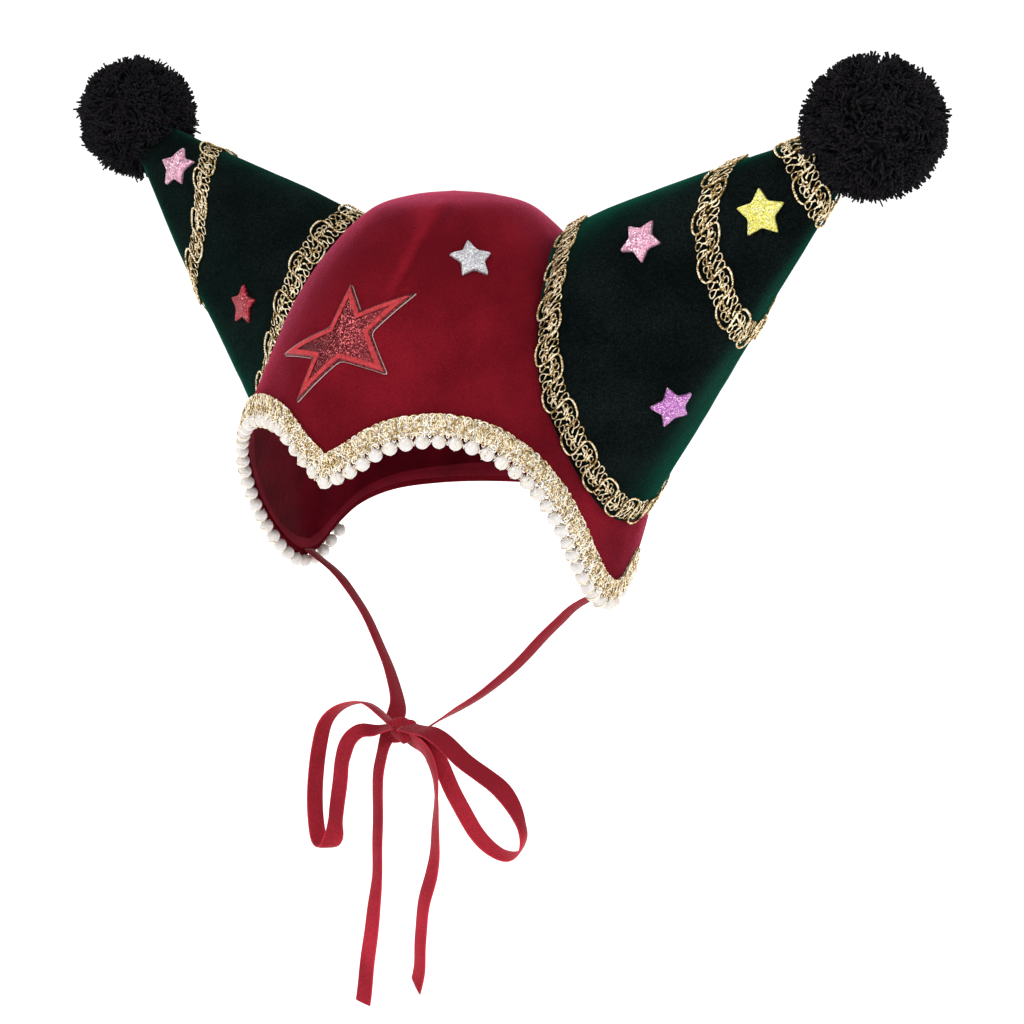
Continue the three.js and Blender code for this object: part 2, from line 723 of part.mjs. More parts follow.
function tieBody() {
  const start = vec(TIE_ROUTE[0]);
  const { angle } = capPlace(start);
  const lift = -VELVET - 4 * CLEARANCE - RIBBON_THICKNESS;
  const hem = capLifted(angle, edgeDepth(angle) - HEM_SETBACK + 2 * CLEARANCE, lift);
  const route = [hem, ...TIE_ROUTE.slice(1).map(vec)].map((point) => point.toArray());
  return ribbonBody(route, (place) => place.clone().sub(vec(THROAT)));
}

function knotBody() {
  const rings = [-0.5, -0.3, 0.3, 0.5].map((share, i) => {
    const fat = i === 0 || i === 3 ? KNOT_END : 1;
    return Array.from({ length: BEAD_SIDES }, (_, j) => {
      const turn = (j / BEAD_SIDES) * 2 * Math.PI;
      return vec(KNOT_PLACE).add(new THREE.Vector3(
        share * KNOT_WIDTH,
        Math.cos(turn) * 0.5 * KNOT_THICKNESS * fat,
        Math.sin(turn) * 0.5 * KNOT_HEIGHT * fat,
      ));
    });
  });
  return loftBody(rings);
}

// Colours and finishes

function finish(colour, roughness, metalness = 0) {
  return new THREE.MeshStandardMaterial({ color: colour, roughness, metalness });
}

const RED_VELVET = () => finish('#8a1a2c', 0.9);
const GREEN_VELVET = () => finish('#0b2a24', 0.9);
const RED_SATIN = () => finish('#9c2233', 0.5);
const GOLD_THREAD = () => finish('#d8b878', 0.35, 0.6);
const PEARL_WHITE = () => finish('#f2ead9', 0.25);
const BLACK_YARN = () => finish('#15130f', 1);
const RIBBON_RED = () => finish('#b22d3c', 0.8);

const hat = new THREE.Group();

function add(name, body, material) {
  const mesh = new THREE.Mesh(body, material);
  mesh.name = name;
  hat.add(mesh);
  return mesh;
}

// The same body on the wearer's other side.
function mirrored(body) {
  const copy = body.clone();
  copy.scale(-1, 1, 1);
  copy.setIndex(Array.from(body.index.array).reverse());
  return copy;
}

const cap = add('cap', capBody(), RED_VELVET());
add('lining', liningBody(), RED_SATIN());

const hornLeft = add('horn_left', hornBody(1), GREEN_VELVET());
const hornRight = add('horn_right', hornBody(-1), GREEN_VELVET());
const tipBraid = BRAID_LINES.find((line) => line.name.includes('tip'));
add('pompom_left', pompomBody(tipBraid), BLACK_YARN());
add('pompom_right', mirrored(pompomBody()), BLACK_YARN());

for (const line of BRAID_LINES) {
  const braid = gimpBody(line);
  add(line.name, line.side > 0 ? braid : mirrored(braid), GOLD_THREAD());
}

add('face_braid', faceBraidBody(), GOLD_THREAD());
add('pearl_string', pearlStringBody(), PEARL_WHITE());

const capSeatBody = capSeat();
const seatFace = hornGrid(CLEARANCE, HORN_SHARES);
const hornSeatBody = sheetBody(seatFace, hornGrid(-SEAT_DEPTH, HORN_SHARES), { ring: true });
const hornSeatRight = mirrored(hornSeatBody);

function mirrorSpot(spot) {
  spot.place.x *= -1;
  spot.normal.x *= -1;
  return spot;
}

const patch = starBody(cap, capSeatBody, capSpot(2, 0.33, 0), BIG_STAR);
add('star_patch', patch, finish('#b83a44', 0.5));
const silver = starBody(cap, capSeatBody, capSpot(47, 0.15, 0), SMALL_STAR);
add('star_silver', silver, finish('#d0d0d6', 0.3, 0.4));
const leftStars = [
  { name: 'star_pink_left', spot: hornSpot(38, 0.35, 12), colour: '#dc9cb8' },
  { name: 'star_yellow', spot: hornSpot(-4, 0.71, -8), colour: '#e8d84c' },
  { name: 'star_purple', spot: hornSpot(-60, 0.27, 12), colour: '#b464b4' },
];
for (const { name, spot, colour } of leftStars) {
  add(name, starBody(hornLeft, hornSeatBody, spot, SMALL_STAR), finish(colour, 0.35, 0.3));
}
const rightStars = [
  { name: 'star_pink_right', spot: hornSpot(28, 0.72, 0), colour: '#dc9cb8' },
  { name: 'star_red', spot: hornSpot(2, 0.24, 0), colour: '#c03440' },
];
for (const { name, spot, colour } of rightStars) {
  add(name, starBody(hornRight, hornSeatRight, mirrorSpot(spot), SMALL_STAR), finish(colour, 0.35, 0.3));
}

const forward = new THREE.Vector3(0, -1, 0);
const tie = tieBody();
add('tie_left', tie, RIBBON_RED());
add('tie_right', mirrored(tie), RIBBON_RED());
add('bow_knot', knotBody(), RIBBON_RED());
const loops = [
  { name: 'bow_loop_left', route: LOOP_LEFT_ROUTE },
  { name: 'bow_loop_right', route: LOOP_RIGHT_ROUTE },
];
for (const { name, route } of loops) {
  const middle = route.map(vec).reduce((sum, point) => sum.add(point), new THREE.Vector3());
  middle.divideScalar(route.length);
  add(name, ribbonBody(route, (place) => place.clone().sub(middle)), RIBBON_RED());
}
add('bow_tail_left', ribbonBody(TAIL_LEFT_ROUTE, () => forward), RIBBON_RED());
add('bow_tail_right', ribbonBody(TAIL_RIGHT_ROUTE, () => forward), RIBBON_RED());

export default hat;
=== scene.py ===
import math
import random

import bmesh
import bpy
import numpy as np
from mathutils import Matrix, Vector, noise
from mathutils.bvhtree import BVHTree


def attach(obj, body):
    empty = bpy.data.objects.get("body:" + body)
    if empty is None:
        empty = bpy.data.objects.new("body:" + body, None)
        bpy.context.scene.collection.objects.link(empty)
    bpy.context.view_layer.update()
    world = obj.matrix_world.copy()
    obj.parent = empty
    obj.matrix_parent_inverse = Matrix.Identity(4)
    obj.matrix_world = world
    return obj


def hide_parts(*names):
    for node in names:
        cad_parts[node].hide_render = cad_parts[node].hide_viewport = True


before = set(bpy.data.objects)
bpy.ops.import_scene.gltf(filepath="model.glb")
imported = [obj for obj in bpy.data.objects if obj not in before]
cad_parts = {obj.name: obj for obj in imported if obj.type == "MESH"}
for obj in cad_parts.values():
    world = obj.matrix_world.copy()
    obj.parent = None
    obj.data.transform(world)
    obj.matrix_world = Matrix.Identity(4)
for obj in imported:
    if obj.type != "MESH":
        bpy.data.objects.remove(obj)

bl_info = {
    "name": "Jester Hat",
    "version": (1, 0, 0),
    "blender": (4, 5, 0),
    "location": "View3D > Sidebar > Jester Hat",
    "description": "Dresses a two-horned velvet jester hat with braid, pearls, stars and ribbon",
    "category": "Add Mesh",
}

MM = 0.001
TURN = 2 * math.pi
ROOT = "root"

# Sizes of the cut, in millimetres; the front is -Y and the wearer's left is +X.
VELVET = 1.5
LINING = 1.0
LINING_EASE = 0.8
CROWN_TOP = VELVET + LINING_EASE + LINING
HALF_WIDTH = 91.5
HALF_LENGTH = 99
CAP_DEPTH = 185
FLAP_STAND_OFF = 6
FLARE_HEIGHT = 45
TUCK_DEPTH = 1.6
TUCK_ANGLE = 24.5
TUCK_WIDTH = 4.5
HORN_WALL = 2.5
HORN_BASE_HEIGHT = 63
HORN_BASE_RISE = 64.6
HORN_BASE_WIDTH = 52
HORN_BASE_SETBACK = 11
HORN_BASE_DROP = 85
HORN_BASE_PEAK = 1.5
HORN_TIP_HEIGHT = 6
HORN_TIP_WIDTH = 5
HORN_END = (199, 6.5, 32.5)
# How far each horn's underside is drawn in
FLANK_HOLLOW = {1: -0.025, -1: 0.17}
TOP_FULLNESS = 0.065
FRONT_FULLNESS = 0.14
POMPOM_OFFSET = {1: (4.4, 3, 0.7), -1: (2.3, 3, 2.5)}
TRIM_END_ANGLE = 104
HEM_SETBACK = 3

# Crown sections from the top down: shares of the half width, half length and depth.
SECTIONS = (
    (0, 0, 0), (0.21, 0.21, 0.011), (0.39, 0.425, 0.043), (0.59, 0.657, 0.146),
    (0.732, 0.808, 0.254), (0.82, 0.909, 0.351), (0.902, 0.98, 0.486), (0.962, 1, 0.568),
    (1, 1, 0.676), (0.985, 0.985, 0.795), (0.925, 0.94, 0.919), (0.87, 0.89, 1.02),
)
# The cap's lower edge: angle from the front, depth on the left and on the right as shares.
EDGE = (
    (0, 0.648, 0.648), (8, 0.613, 0.6), (18, 0.562, 0.545), (28, 0.541, 0.53),
    (38, 0.542, 0.535), (47, 0.57, 0.568), (56, 0.638, 0.638), (64, 0.738, 0.738),
    (71, 0.84, 0.84), (78, 0.92, 0.92), (86, 0.97, 0.97), (94, 0.965, 0.965),
    (102, 0.915, 0.915), (111, 0.865, 0.865), (122, 0.835, 0.835), (140, 0.82, 0.82),
    (180, 0.815, 0.815),
)
# Each horn braid's side, and its share of the horn's length on top, in front, below and behind.
BRAID_LINES = {
    "horn_left_base_braid": (1, 0.09, 0.045, 0.045, 0.06),
    "horn_left_middle_braid": (1, 0.64, 0.55, 0.53, 0.58),
    "horn_left_tip_braid": (1, 0.81, 0.845, 0.83, 0.82),
    "horn_right_base_braid": (-1, 0.11, 0.045, 0.045, 0.06),
    "horn_right_middle_braid": (-1, 0.69, 0.53, 0.46, 0.58),
}
# The big star's tips and inner corners: degrees from upright, and reach as a share.
BIG_STAR_CORNERS = (
    (-11, 0.715), (20.5, 0.37), (45.2, 0.975), (73, 0.35), (119.3, 0.71),
    (175, 0.26), (217, 0.945), (237, 0.45), (261, 1), (299, 0.26),
)
BIG_STAR_PLACE = (2, 0.33)
SMALL_STAR_CORNERS = tuple((36 * i, 0.55 if i % 2 else 1) for i in range(10))
# Small stars: what carries them, their two place numbers there, turn, size and colour.
SMALL_STARS = {
    "star_silver": ("cap", 47, 0.15, 0, 1, "silver"),
    "star_pink_left": ("horn_left", 32, 0.36, 21, 1, "pink"),
    "star_yellow": ("horn_left", -4, 0.71, -8, 1.08, "yellow"),
    "star_purple": ("horn_left", -49, 0.307, -23, 1, "purple"),
    "star_pink_right": ("horn_right", 28, 0.72, 0, 1.06, "pink"),
    "star_red": ("horn_right", 2, 0.24, 0, 1, "red"),
}

# Ribbon routes through given points, close to those of the solids.
TIE_ROUTE = (
    (76, -2, -176), (68, -2, -184), (59, -2, -192.5), (43, -5, -210), (28, -13, -226.5),
    (15, -25, -237), (9.5, -36, -242.5),
)
TIE_LIFT = -3.6
RIBBON_STEP = 1.3
RIBBON_SIDES = 24
EVEN_PILE = ((0, 0),)
KNOT_PLACE = (2.7, -46, -242.4)
KNOT_HALF = (7.6, 4.2, 5.5)
THROAT = (0, 10, -170)
LOOP_LEFT_ROUTE = (
    (13.3, -50, -239.6), (22.2, -52, -238.9), (30.9, -54, -241.2), (43.2, -56, -247.6),
    (54.8, -57, -252.6), (65.5, -58, -257.7), (73.4, -58, -266.4), (77, -58, -276.5),
    (74.6, -57, -284), (69.6, -56, -287.8), (60.6, -54.5, -288), (47.9, -52, -282.2),
    (35.2, -49.5, -268.5), (24.9, -47.5, -254), (19, -46.5, -248.1), (12.5, -46, -244.6),
)
LOOP_RIGHT_ROUTE = (
    (-9.5, -50, -243.5), (-15.6, -53.5, -243.6), (-20, -56, -247.5), (-23.5, -57.5, -257),
    (-25, -58, -270), (-27, -58, -285), (-29.5, -57, -296.5), (-35.5, -54.5, -303.3),
    (-42, -51.5, -302.3), (-46.4, -49, -291), (-47.6, -47, -274), (-46.6, -45.5, -258),
    (-42.5, -44.5, -245), (-33.5, -43.5, -236.5), (-21, -43, -233.5), (-8.5, -44, -238.5),
)
TAIL_RIGHT_ROUTE = (
    (-5.3, -46.5, -246), (-6, -48, -249.5), (-6, -51, -255.5), (-6.1, -53, -262),
    (-6, -54, -272), (-6.2, -54, -304.7), (-8.8, -54, -331), (-12.7, -54, -357.5),
    (-15.4, -54, -376.5),
)
TAIL_LEFT_ROUTE = (
    (9.4, -48, -245.2), (15.1, -51, -245.6), (21.4, -54, -247.6), (26, -56, -251.8),
    (28.5, -57, -257.5), (29, -57, -266.1), (28.7, -56.5, -275.7), (28, -56, -292.1),
    (25.1, -55.5, -305.6), (20.6, -55, -321.1), (19, -55, -337.3), (18.1, -55, -351.6),
    (15.4, -55, -362.9),
)


# Curves and surfaces of the cut ---------------------------------------------------------


def spline(points, count):
    """Points of the smooth curve through the given ones."""
    p = np.asarray(points, float)
    p = np.vstack([2 * p[0] - p[1], p, 2 * p[-1] - p[-2]])
    t = np.linspace(0, len(p) - 3, count + 1)
    i = np.minimum(t.astype(int), len(p) - 4)
    w = (t - i)[:, None]
    p0, p1, p2, p3 = (p[i + k] for k in range(4))
    d0, d1, d2 = (
        np.linalg.norm(b - a, axis=1, keepdims=True) ** 0.5
        for a, b in ((p0, p1), (p1, p2), (p2, p3))
    )
    m1 = ((p1 - p0) / d0 - (p2 - p0) / (d0 + d1) + (p2 - p1) / d1) * d1
    m2 = ((p2 - p1) / d1 - (p3 - p1) / (d1 + d2) + (p3 - p2) / d2) * d1
    return p1 + w * m1 + w**2 * (3 * (p2 - p1) - 2 * m1 - m2) + w**3 * (2 * (p1 - p2) + m1 + m2)


def smooth(low, high, value):
    t = np.clip((value - low) / (high - low), 0, 1)
    return t * t * (3 - 2 * t)


def unit(vectors):
    return vectors / np.maximum(np.linalg.norm(vectors, axis=-1, keepdims=True), 1e-12)


def run_of(points):
    """Length run along a row of points up to each one."""
    steps = np.linalg.norm(np.diff(points, axis=0), axis=1)
    return np.concatenate([[0], np.cumsum(steps)])


def at_run(s, run, values):
    return np.stack([np.interp(s, run, values[:, k]) for k in range(values.shape[1])], axis=-1)


CROWN = spline([(w * HALF_WIDTH, l * HALF_LENGTH, d * CAP_DEPTH) for w, l, d in SECTIONS], 3000)
LEFT_EDGE = spline([(a, l, 0) for a, l, _ in EDGE], 2000)
RIGHT_EDGE = spline([(a, r, 0) for a, _, r in EDGE], 2000)


def section(depth):
    return np.interp(depth, CROWN[:, 2], CROWN[:, 0]), np.interp(depth, CROWN[:, 2], CROWN[:, 1])


def edge_depth(angle):
    away = np.abs(angle)
    left = np.interp(away, LEFT_EDGE[:, 0], LEFT_EDGE[:, 1])
    right = np.interp(away, RIGHT_EDGE[:, 0], RIGHT_EDGE[:, 1])
    return np.where(angle > 0, left, right) * CAP_DEPTH


def cap_point(angle, depth):
    away = np.abs(angle)
    side = smooth(24, 56, away) * (1 - smooth(86, 118, away))
    low = smooth(-FLARE_HEIGHT, 0, depth - edge_depth(angle))
    share = depth / CAP_DEPTH
    across = (angle - TUCK_ANGLE) / TUCK_WIDTH
    fade = smooth(0.01, 0.05, share) * (1 - smooth(0.14, 0.24, share))
    swell = FLAP_STAND_OFF * side * low - TUCK_DEPTH * np.exp(-across**2) * fade
    width, length = section(depth)
    turn = np.radians(angle)
    x = (width + swell) * np.sin(turn)
    y = -(length + swell) * np.cos(turn)
    return np.stack([x, y, CROWN_TOP - depth], axis=-1)


def cap_normal(angle, depth):
    across = cap_point(angle + 1, depth) - cap_point(angle - 1, depth)
    down = cap_point(angle, depth + 0.5) - cap_point(angle, np.maximum(depth - 0.5, 0))
    normal = unit(np.cross(down, across))
    return np.where(np.asarray(depth)[..., None] < 0.05, np.array([0, 0, 1.0]), normal)


def cap_lifted(angle, depth, lift):
    return cap_point(angle, depth) + cap_normal(angle, depth) * np.asarray(lift)[..., None]


def cap_place(points):
    depth = CROWN_TOP - points[..., 2]
    width, length = section(depth)
    return np.degrees(np.arctan2(points[..., 0] / width, -points[..., 1] / length)), depth


def horn_base(turn):
    cos, sin = np.cos(turn), np.sin(turn)
    across = np.sign(cos) * np.abs(cos) ** np.where(sin > 0, HORN_BASE_PEAK, 1)
    y = HORN_BASE_SETBACK - HORN_BASE_WIDTH * across
    z = CROWN_TOP - HORN_BASE_DROP + np.where(sin > 0, HORN_BASE_RISE, HORN_BASE_HEIGHT) * sin
    width, length = section(CROWN_TOP - z)
    x = width * np.sqrt(np.maximum(1 - (y / length) ** 2, 0))
    return cap_point(*cap_place(np.stack([x, y, z], axis=-1)))


HORN_TIP = np.array(HORN_END, float)
HORN_ROOT = (horn_base(np.array(0.0)) + horn_base(np.array(math.pi))) / 2
HORN_AXIS = unit(HORN_TIP - HORN_ROOT)
HORN_RIB = unit(np.array([-HORN_AXIS[2], 0, HORN_AXIS[0]]))


def horn_point(turn, share, side=1):
    turn, share = np.broadcast_arrays(np.asarray(turn, float), np.asarray(share, float))
    cos, sin, s = np.cos(turn), np.sin(turn), share[..., None]
    base = horn_base(turn)
    tip = HORN_TIP + HORN_RIB * (HORN_TIP_HEIGHT * sin)[..., None]
    tip = tip + np.array([0, -1.0, 0]) * (HORN_TIP_WIDTH * cos)[..., None]
    middle = HORN_ROOT + (HORN_TIP - HORN_ROOT) * s
    curve = 6.75 * share * (1 - share) ** 2
    low = np.maximum(0.55 - 0.45 * sin, 0) * FLANK_HOLLOW[side]
    hollow = curve * (low - TOP_FULLNESS * np.maximum(sin, 0) ** 2)
    quarter = np.where(cos > 0, np.sin(2 * turn) ** 2, 0)
    pull = hollow - FRONT_FULLNESS * quarter * 4 * share * (1 - share)
    point = base + (tip - base) * s
    return point + (middle - point) * pull[..., None]


def horn_normal(turn, share, side=1):
    around = horn_point(turn + 0.02, share, side) - horn_point(turn - 0.02, share, side)
    ahead, behind = np.minimum(share + 0.01, 1), np.maximum(share - 0.01, 0)
    along = horn_point(turn, ahead, side) - horn_point(turn, behind, side)
    return unit(np.cross(along, around))


def horn_lifted(turn, share, lift, side=1):
    lifted = horn_normal(turn, share, side) * np.asarray(lift)[..., None]
    return horn_point(turn, share, side) + lifted


def mirrored(points, side):
    return points * np.array([side, 1, 1])


# Meshes ---------------------------------------------------------------------------------


def keep(name, mesh, material, nodes=None):
    """Links the finished piece, in its node's place."""
    piece = bpy.data.objects.new("dressed_" + name, mesh)
    bpy.context.scene.collection.objects.link(piece)
    piece.data.materials.clear()
    piece.data.materials.append(material)
    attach(piece, ROOT)
    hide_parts(*(nodes or (name,)))
    return piece


def to_mesh(bm, name):
    for face in bm.faces:
        face.smooth = True
    mesh = bpy.data.meshes.new(name)
    bm.to_mesh(mesh)
    bm.free()
    return mesh


def woven(columns, rows, place, fill=False):
    """A bmesh grid laid on a surface: place takes shares across and down.

    It gives millimetres, and may give a mark too, which lightens or darkens the velvet: the pile's
    own tone, and painted shade in the crown's fold.
    """
    bm = bmesh.new()
    bm.loops.layers.uv.new("UVMap")
    pressed = bm.verts.layers.float.new("pressed")
    bmesh.ops.create_grid(bm, x_segments=columns, y_segments=rows, size=0.5, calc_uvs=True)
    flat = np.array([v.co[:2] for v in bm.verts])
    flat = (flat - flat.min(0)) / (flat.max(0) - flat.min(0))
    laid = place(flat[:, 0], flat[:, 1])
    points, marks = laid if isinstance(laid, tuple) else (laid, np.zeros(len(flat)))
    for vert, point, mark in zip(bm.verts, points * MM, marks):
        vert.co = point
        vert[pressed] = mark
    bmesh.ops.remove_doubles(bm, verts=bm.verts[:], dist=2e-6)
    if fill:
        bmesh.ops.holes_fill(bm, edges=[e for e in bm.edges if e.is_boundary], sides=0)
    bmesh.ops.recalc_face_normals(bm, faces=bm.faces[:])
    return bm


def row_lookup(rows):
    """Turns the row share of a grid into the columns of a table with one line for each row."""
    table = np.array(rows, float)
    marks = np.linspace(0, 1, len(table))
    return lambda v: [np.interp(v, marks, table[:, k]) for k in range(table.shape[1])]


def strands(name, lines, outward=None):
    """One mesh of many threads; each is its points in millimetres, its radius and if it closes.

    Where outward gives the way the cloth under them faces, the threads' sides and undersides get a
    mark for painted shade, nought on top.
    """
    curve = bpy.data.curves.new(name, "CURVE")
    curve.dimensions = "3D"
    curve.bevel_depth = MM
    curve.bevel_resolution = 0
    curve.use_fill_caps = True
    for points, radius, closed in lines:
        run = curve.splines.new("POLY")
        run.points.add(len(points) - 1)
        flat = np.ones((len(points), 4))
        flat[:, :3] = np.asarray(points) * MM
        run.points.foreach_set("co", flat.ravel())
        radii = np.broadcast_to(np.asarray(radius, float), len(points))
        run.points.foreach_set("radius", np.ascontiguousarray(radii))
        run.use_cyclic_u = closed
    holder = bpy.data.objects.new(name, curve)
    bpy.context.scene.collection.objects.link(holder)
    depsgraph = bpy.context.evaluated_depsgraph_get()
    mesh = bpy.data.meshes.new_from_object(holder.evaluated_get(depsgraph))
    bpy.data.objects.remove(holder)
    bpy.data.curves.remove(curve)
    mesh.shade_smooth()
    if outward is not None:
        places, normals = (np.empty(len(mesh.vertices) * 3) for _ in range(2))
        mesh.vertices.foreach_get("co", places)
        mesh.vertices.foreach_get("normal", normals)
        # Painted shade: the mark grows as the thread's surface turns away from the outward way.
        crest = np.sum(normals.reshape(-1, 3) * outward(places.reshape(-1, 3) / MM), axis=1)
        sunk = mesh.attributes.new("sunk", "FLOAT", "POINT")
        sunk.data.foreach_set("value", np.clip(1 - crest, 0, 1.4))
    return mesh


# Materials ------------------------------------------------------------------------------


class Finish:
    """A new material with a Principled shader and short ways to add nodes to it."""

    def __init__(self, name, colour, **sockets):
        self.material = bpy.data.materials.new(name)
        self.material.use_nodes = True
        self.tree = self.material.node_tree
        self.shader = self.tree.nodes["Principled BSDF"]
        self.shader.inputs["Base Color"].default_value = (*colour[:3], 1)
        for key, value in sockets.items():
            socket = self.shader.inputs[key.replace("_", " ")]
            socket.default_value = (*value, 1) if hasattr(value, "__len__") else value
        self.coords = self.tree.nodes.new("ShaderNodeTexCoord").outputs["Object"]

    def node(self, kind, **inputs):
        made = self.tree.nodes.new("ShaderNode" + kind)
        for key, value in inputs.items():
            name = key.replace("_", " ")
            if hasattr(made, key):
                setattr(made, key, value)
            elif isinstance(value, bpy.types.NodeSocket):
                self.tree.links.new(value, made.inputs[name])
            else:
                made.inputs[name].default_value = value
        return made

    def noise(self, scale, detail=2.0, vector=None):
        return self.node("TexNoise", Vector=vector or self.coords, Scale=scale, Detail=detail)

    def mix(self, first, factor, second):
        """The first value times the factor, plus the second."""
        sum_ = self.node("Math", operation="MULTIPLY_ADD")
        for slot, value in enumerate((first, factor, second)):
            if isinstance(value, bpy.types.NodeSocket):
                self.tree.links.new(value, sum_.inputs[slot])
            else:
                sum_.inputs[slot].default_value = value
        return sum_.outputs[0]

    def ramp(self, fac, stops):
        ramp = self.node("ValToRGB", Fac=fac)
        ramp.color_ramp.elements[0].position, ramp.color_ramp.elements[1].position = (
            stops[0][0],
            stops[-1][0],
        )
        ramp.color_ramp.elements[0].color = (*stops[0][1], 1)
        ramp.color_ramp.elements[1].color = (*stops[-1][1], 1)
        for position, colour in stops[1:-1]:
            ramp.color_ramp.elements.new(position).color = (*colour, 1)
        return ramp.outputs["Color"]

    def colour(self, socket):
        self.tree.links.new(socket, self.shader.inputs["Base Color"])

    def bump(self, height, depth, strength=1.0, normal=None):
        bump = self.node("Bump", Height=height, Distance=depth, Strength=strength)
        if normal is not None:
            self.tree.links.new(normal, bump.inputs["Normal"])
        self.tree.links.new(bump.outputs["Normal"], self.shader.inputs["Normal"])
        return bump.outputs["Normal"]


def shade(colour, factor):
    return tuple(min(1.0, c * factor) for c in colour[:3])


def velvet(name, colour, sheen, weight=0.8, mottle=1.0, grain=0.4):
    """Cut pile: dark to look into, bright at grazing angles; the mark adds its own tone and painted
    shade in folds.
    """
    finish = Finish(
        name, colour, Roughness=0.8, Sheen_Weight=weight, Sheen_Roughness=0.3,
        Sheen_Tint=sheen, Specular_IOR_Level=0.0,
    )
    brushed = finish.noise(26, 8.0).outputs["Fac"]
    nap = finish.noise(1300, 3.0).outputs["Fac"]
    pressed = finish.node("Attribute", attribute_name="pressed").outputs["Fac"]
    piled = finish.mix(nap, grain, finish.mix(pressed, 0.5, 0.0))
    blend = finish.mix(brushed, 1 - grain, piled)
    finish.colour(finish.ramp(blend, [
        (0.4, shade(colour, 0.75**mottle)), (0.5, tuple(colour[:3])),
        (0.6, shade(colour, 1.35**mottle)), (1.0, shade(colour, 2.2**mottle)),
    ]))
    soft = finish.bump(finish.noise(55, 4.0).outputs["Fac"], 0.0009, 0.35)
    finish.bump(nap, 0.00035, 0.8, soft)
    return finish.material


def cloth(name, colour, grain=700.0, gloss=0.25, cloud=60.0, spread=0.25):
    finish = Finish(name, colour, Roughness=0.6, Sheen_Weight=gloss, Sheen_Roughness=0.4,
                    Sheen_Tint=shade(colour, 3), Specular_IOR_Level=gloss)
    wave = finish.noise(cloud, 4.0).outputs["Fac"]
    finish.colour(finish.ramp(wave, [
        (0.35, shade(colour, 1 - spread)), (0.7, shade(colour, 1 + spread)),
    ]))
    finish.bump(finish.noise(grain, 3.0).outputs["Fac"], 0.0002, 0.5)
    return finish.material


def metal_thread(name, colour, light, metal=0.75, deep=0.12):
    """Foil-wrapped thread: dark and pale wraps at random, painted bright glints, and painted shade
    on the threads' sides.
    """
    finish = Finish(name, colour, Roughness=0.3, Metallic=metal, Specular_IOR_Level=0.6)
    tone = finish.noise(330, 2.0).outputs["Fac"]
    wrap = finish.noise(1100, 1.0).outputs["Fac"]
    sunk = finish.node("Attribute", attribute_name="sunk").outputs["Fac"]
    # The side mark pulls the blend down to the deep colour as painted shade; the light colour at
    # the top of the ramp is painted glints.
    blend = finish.mix(sunk, -0.17, finish.mix(tone, 0.45, finish.mix(wrap, 0.55, 0.03)))
    finish.colour(finish.ramp(blend, [
        (0.33, shade(colour, deep)), (0.43, shade(colour, 0.85)), (0.5, tuple(light[:3])),
    ]))
    finish.bump(finish.noise(1300, 2.0).outputs["Fac"], 0.0003, 0.8)
    return finish.material


def glitter(name, colour, light, grain=2600.0, metal=0.55, spread=0.9, gloss=0.6):
    """Glitter cloth: every flake has its own tilt and shade; the palest flakes take painted glints.
    """
    finish = Finish(name, colour, Roughness=0.32, Metallic=metal, Specular_IOR_Level=gloss)
    flakes = finish.node("TexVoronoi", Vector=finish.coords, Scale=grain)
    tone = finish.node("SeparateColor", Color=flakes.outputs["Color"]).outputs[0]
    # The light colour at the top of the ramp is painted glints on the palest flakes.
    finish.colour(finish.ramp(tone, [
        (0.0, shade(colour, 0.6)), (0.4, tuple(colour[:3])), (0.75, shade(colour, 1.2)),
        (0.92, tuple(light[:3])),
    ]))
    tilt = finish.node("VectorMath", operation="MULTIPLY_ADD")
    finish.tree.links.new(flakes.outputs["Color"], tilt.inputs[0])
    tilt.inputs[1].default_value = (spread,) * 3
    tilt.inputs[2].default_value = (-spread / 2,) * 3
    plain = finish.node("NewGeometry").outputs["Normal"]
    added = finish.node("VectorMath", operation="ADD")
    finish.tree.links.new(plain, added.inputs[0])
    finish.tree.links.new(tilt.outputs[0], added.inputs[1])
    turned = finish.node("VectorMath", operation="NORMALIZE")
    finish.tree.links.new(added.outputs[0], turned.inputs[0])
    finish.tree.links.new(turned.outputs[0], finish.shader.inputs["Normal"])
    return finish.material


def pearl_finish(name, colour):
    finish = Finish(name, colour, Roughness=0.28, Coat_Weight=0.7, Coat_Roughness=0.08,
                    Specular_IOR_Level=0.6, Subsurface_Weight=0.15)
    finish.shader.inputs["Subsurface Radius"].default_value = (0.001, 0.0008, 0.0006)
    cloud = finish.noise(420, 2.0).outputs["Fac"]
    finish.colour(finish.ramp(cloud, [(0.35, shade(colour, 0.9)), (0.7, shade(colour, 1.03))]))
    return finish.material


def yarn(name, colour):
    finish = Finish(name, colour, Roughness=0.85, Sheen_Weight=0.07, Sheen_Roughness=0.5,
                    Sheen_Tint=(0.5, 0.45, 0.52), Specular_IOR_Level=0.1)
    tone = finish.noise(260, 3.0).outputs["Fac"]
    finish.colour(finish.ramp(tone, [(0.3, shade(colour, 0.5)), (0.7, shade(colour, 1.7))]))
    ply = finish.noise(2400, 2.0).outputs["Fac"]
    finish.bump(ply, 0.0003, 0.7)
    return finish.material


# Settings -------------------------------------------------------------------------------


def size_prop(title, text, default, low=0.0001, high=0.3):
    return bpy.props.FloatProperty(
        name=title, description=text, default=default, min=low, max=high, unit="LENGTH",
        precision=4,
    )


def colour_prop(title, text, default):
    return bpy.props.FloatVectorProperty(
        name=title, description=text, default=default, min=0, max=1, size=3, subtype="COLOR",
    )


def count_prop(title, text, default, low, high):
    return bpy.props.IntProperty(name=title, description=text, default=default, min=low, max=high)


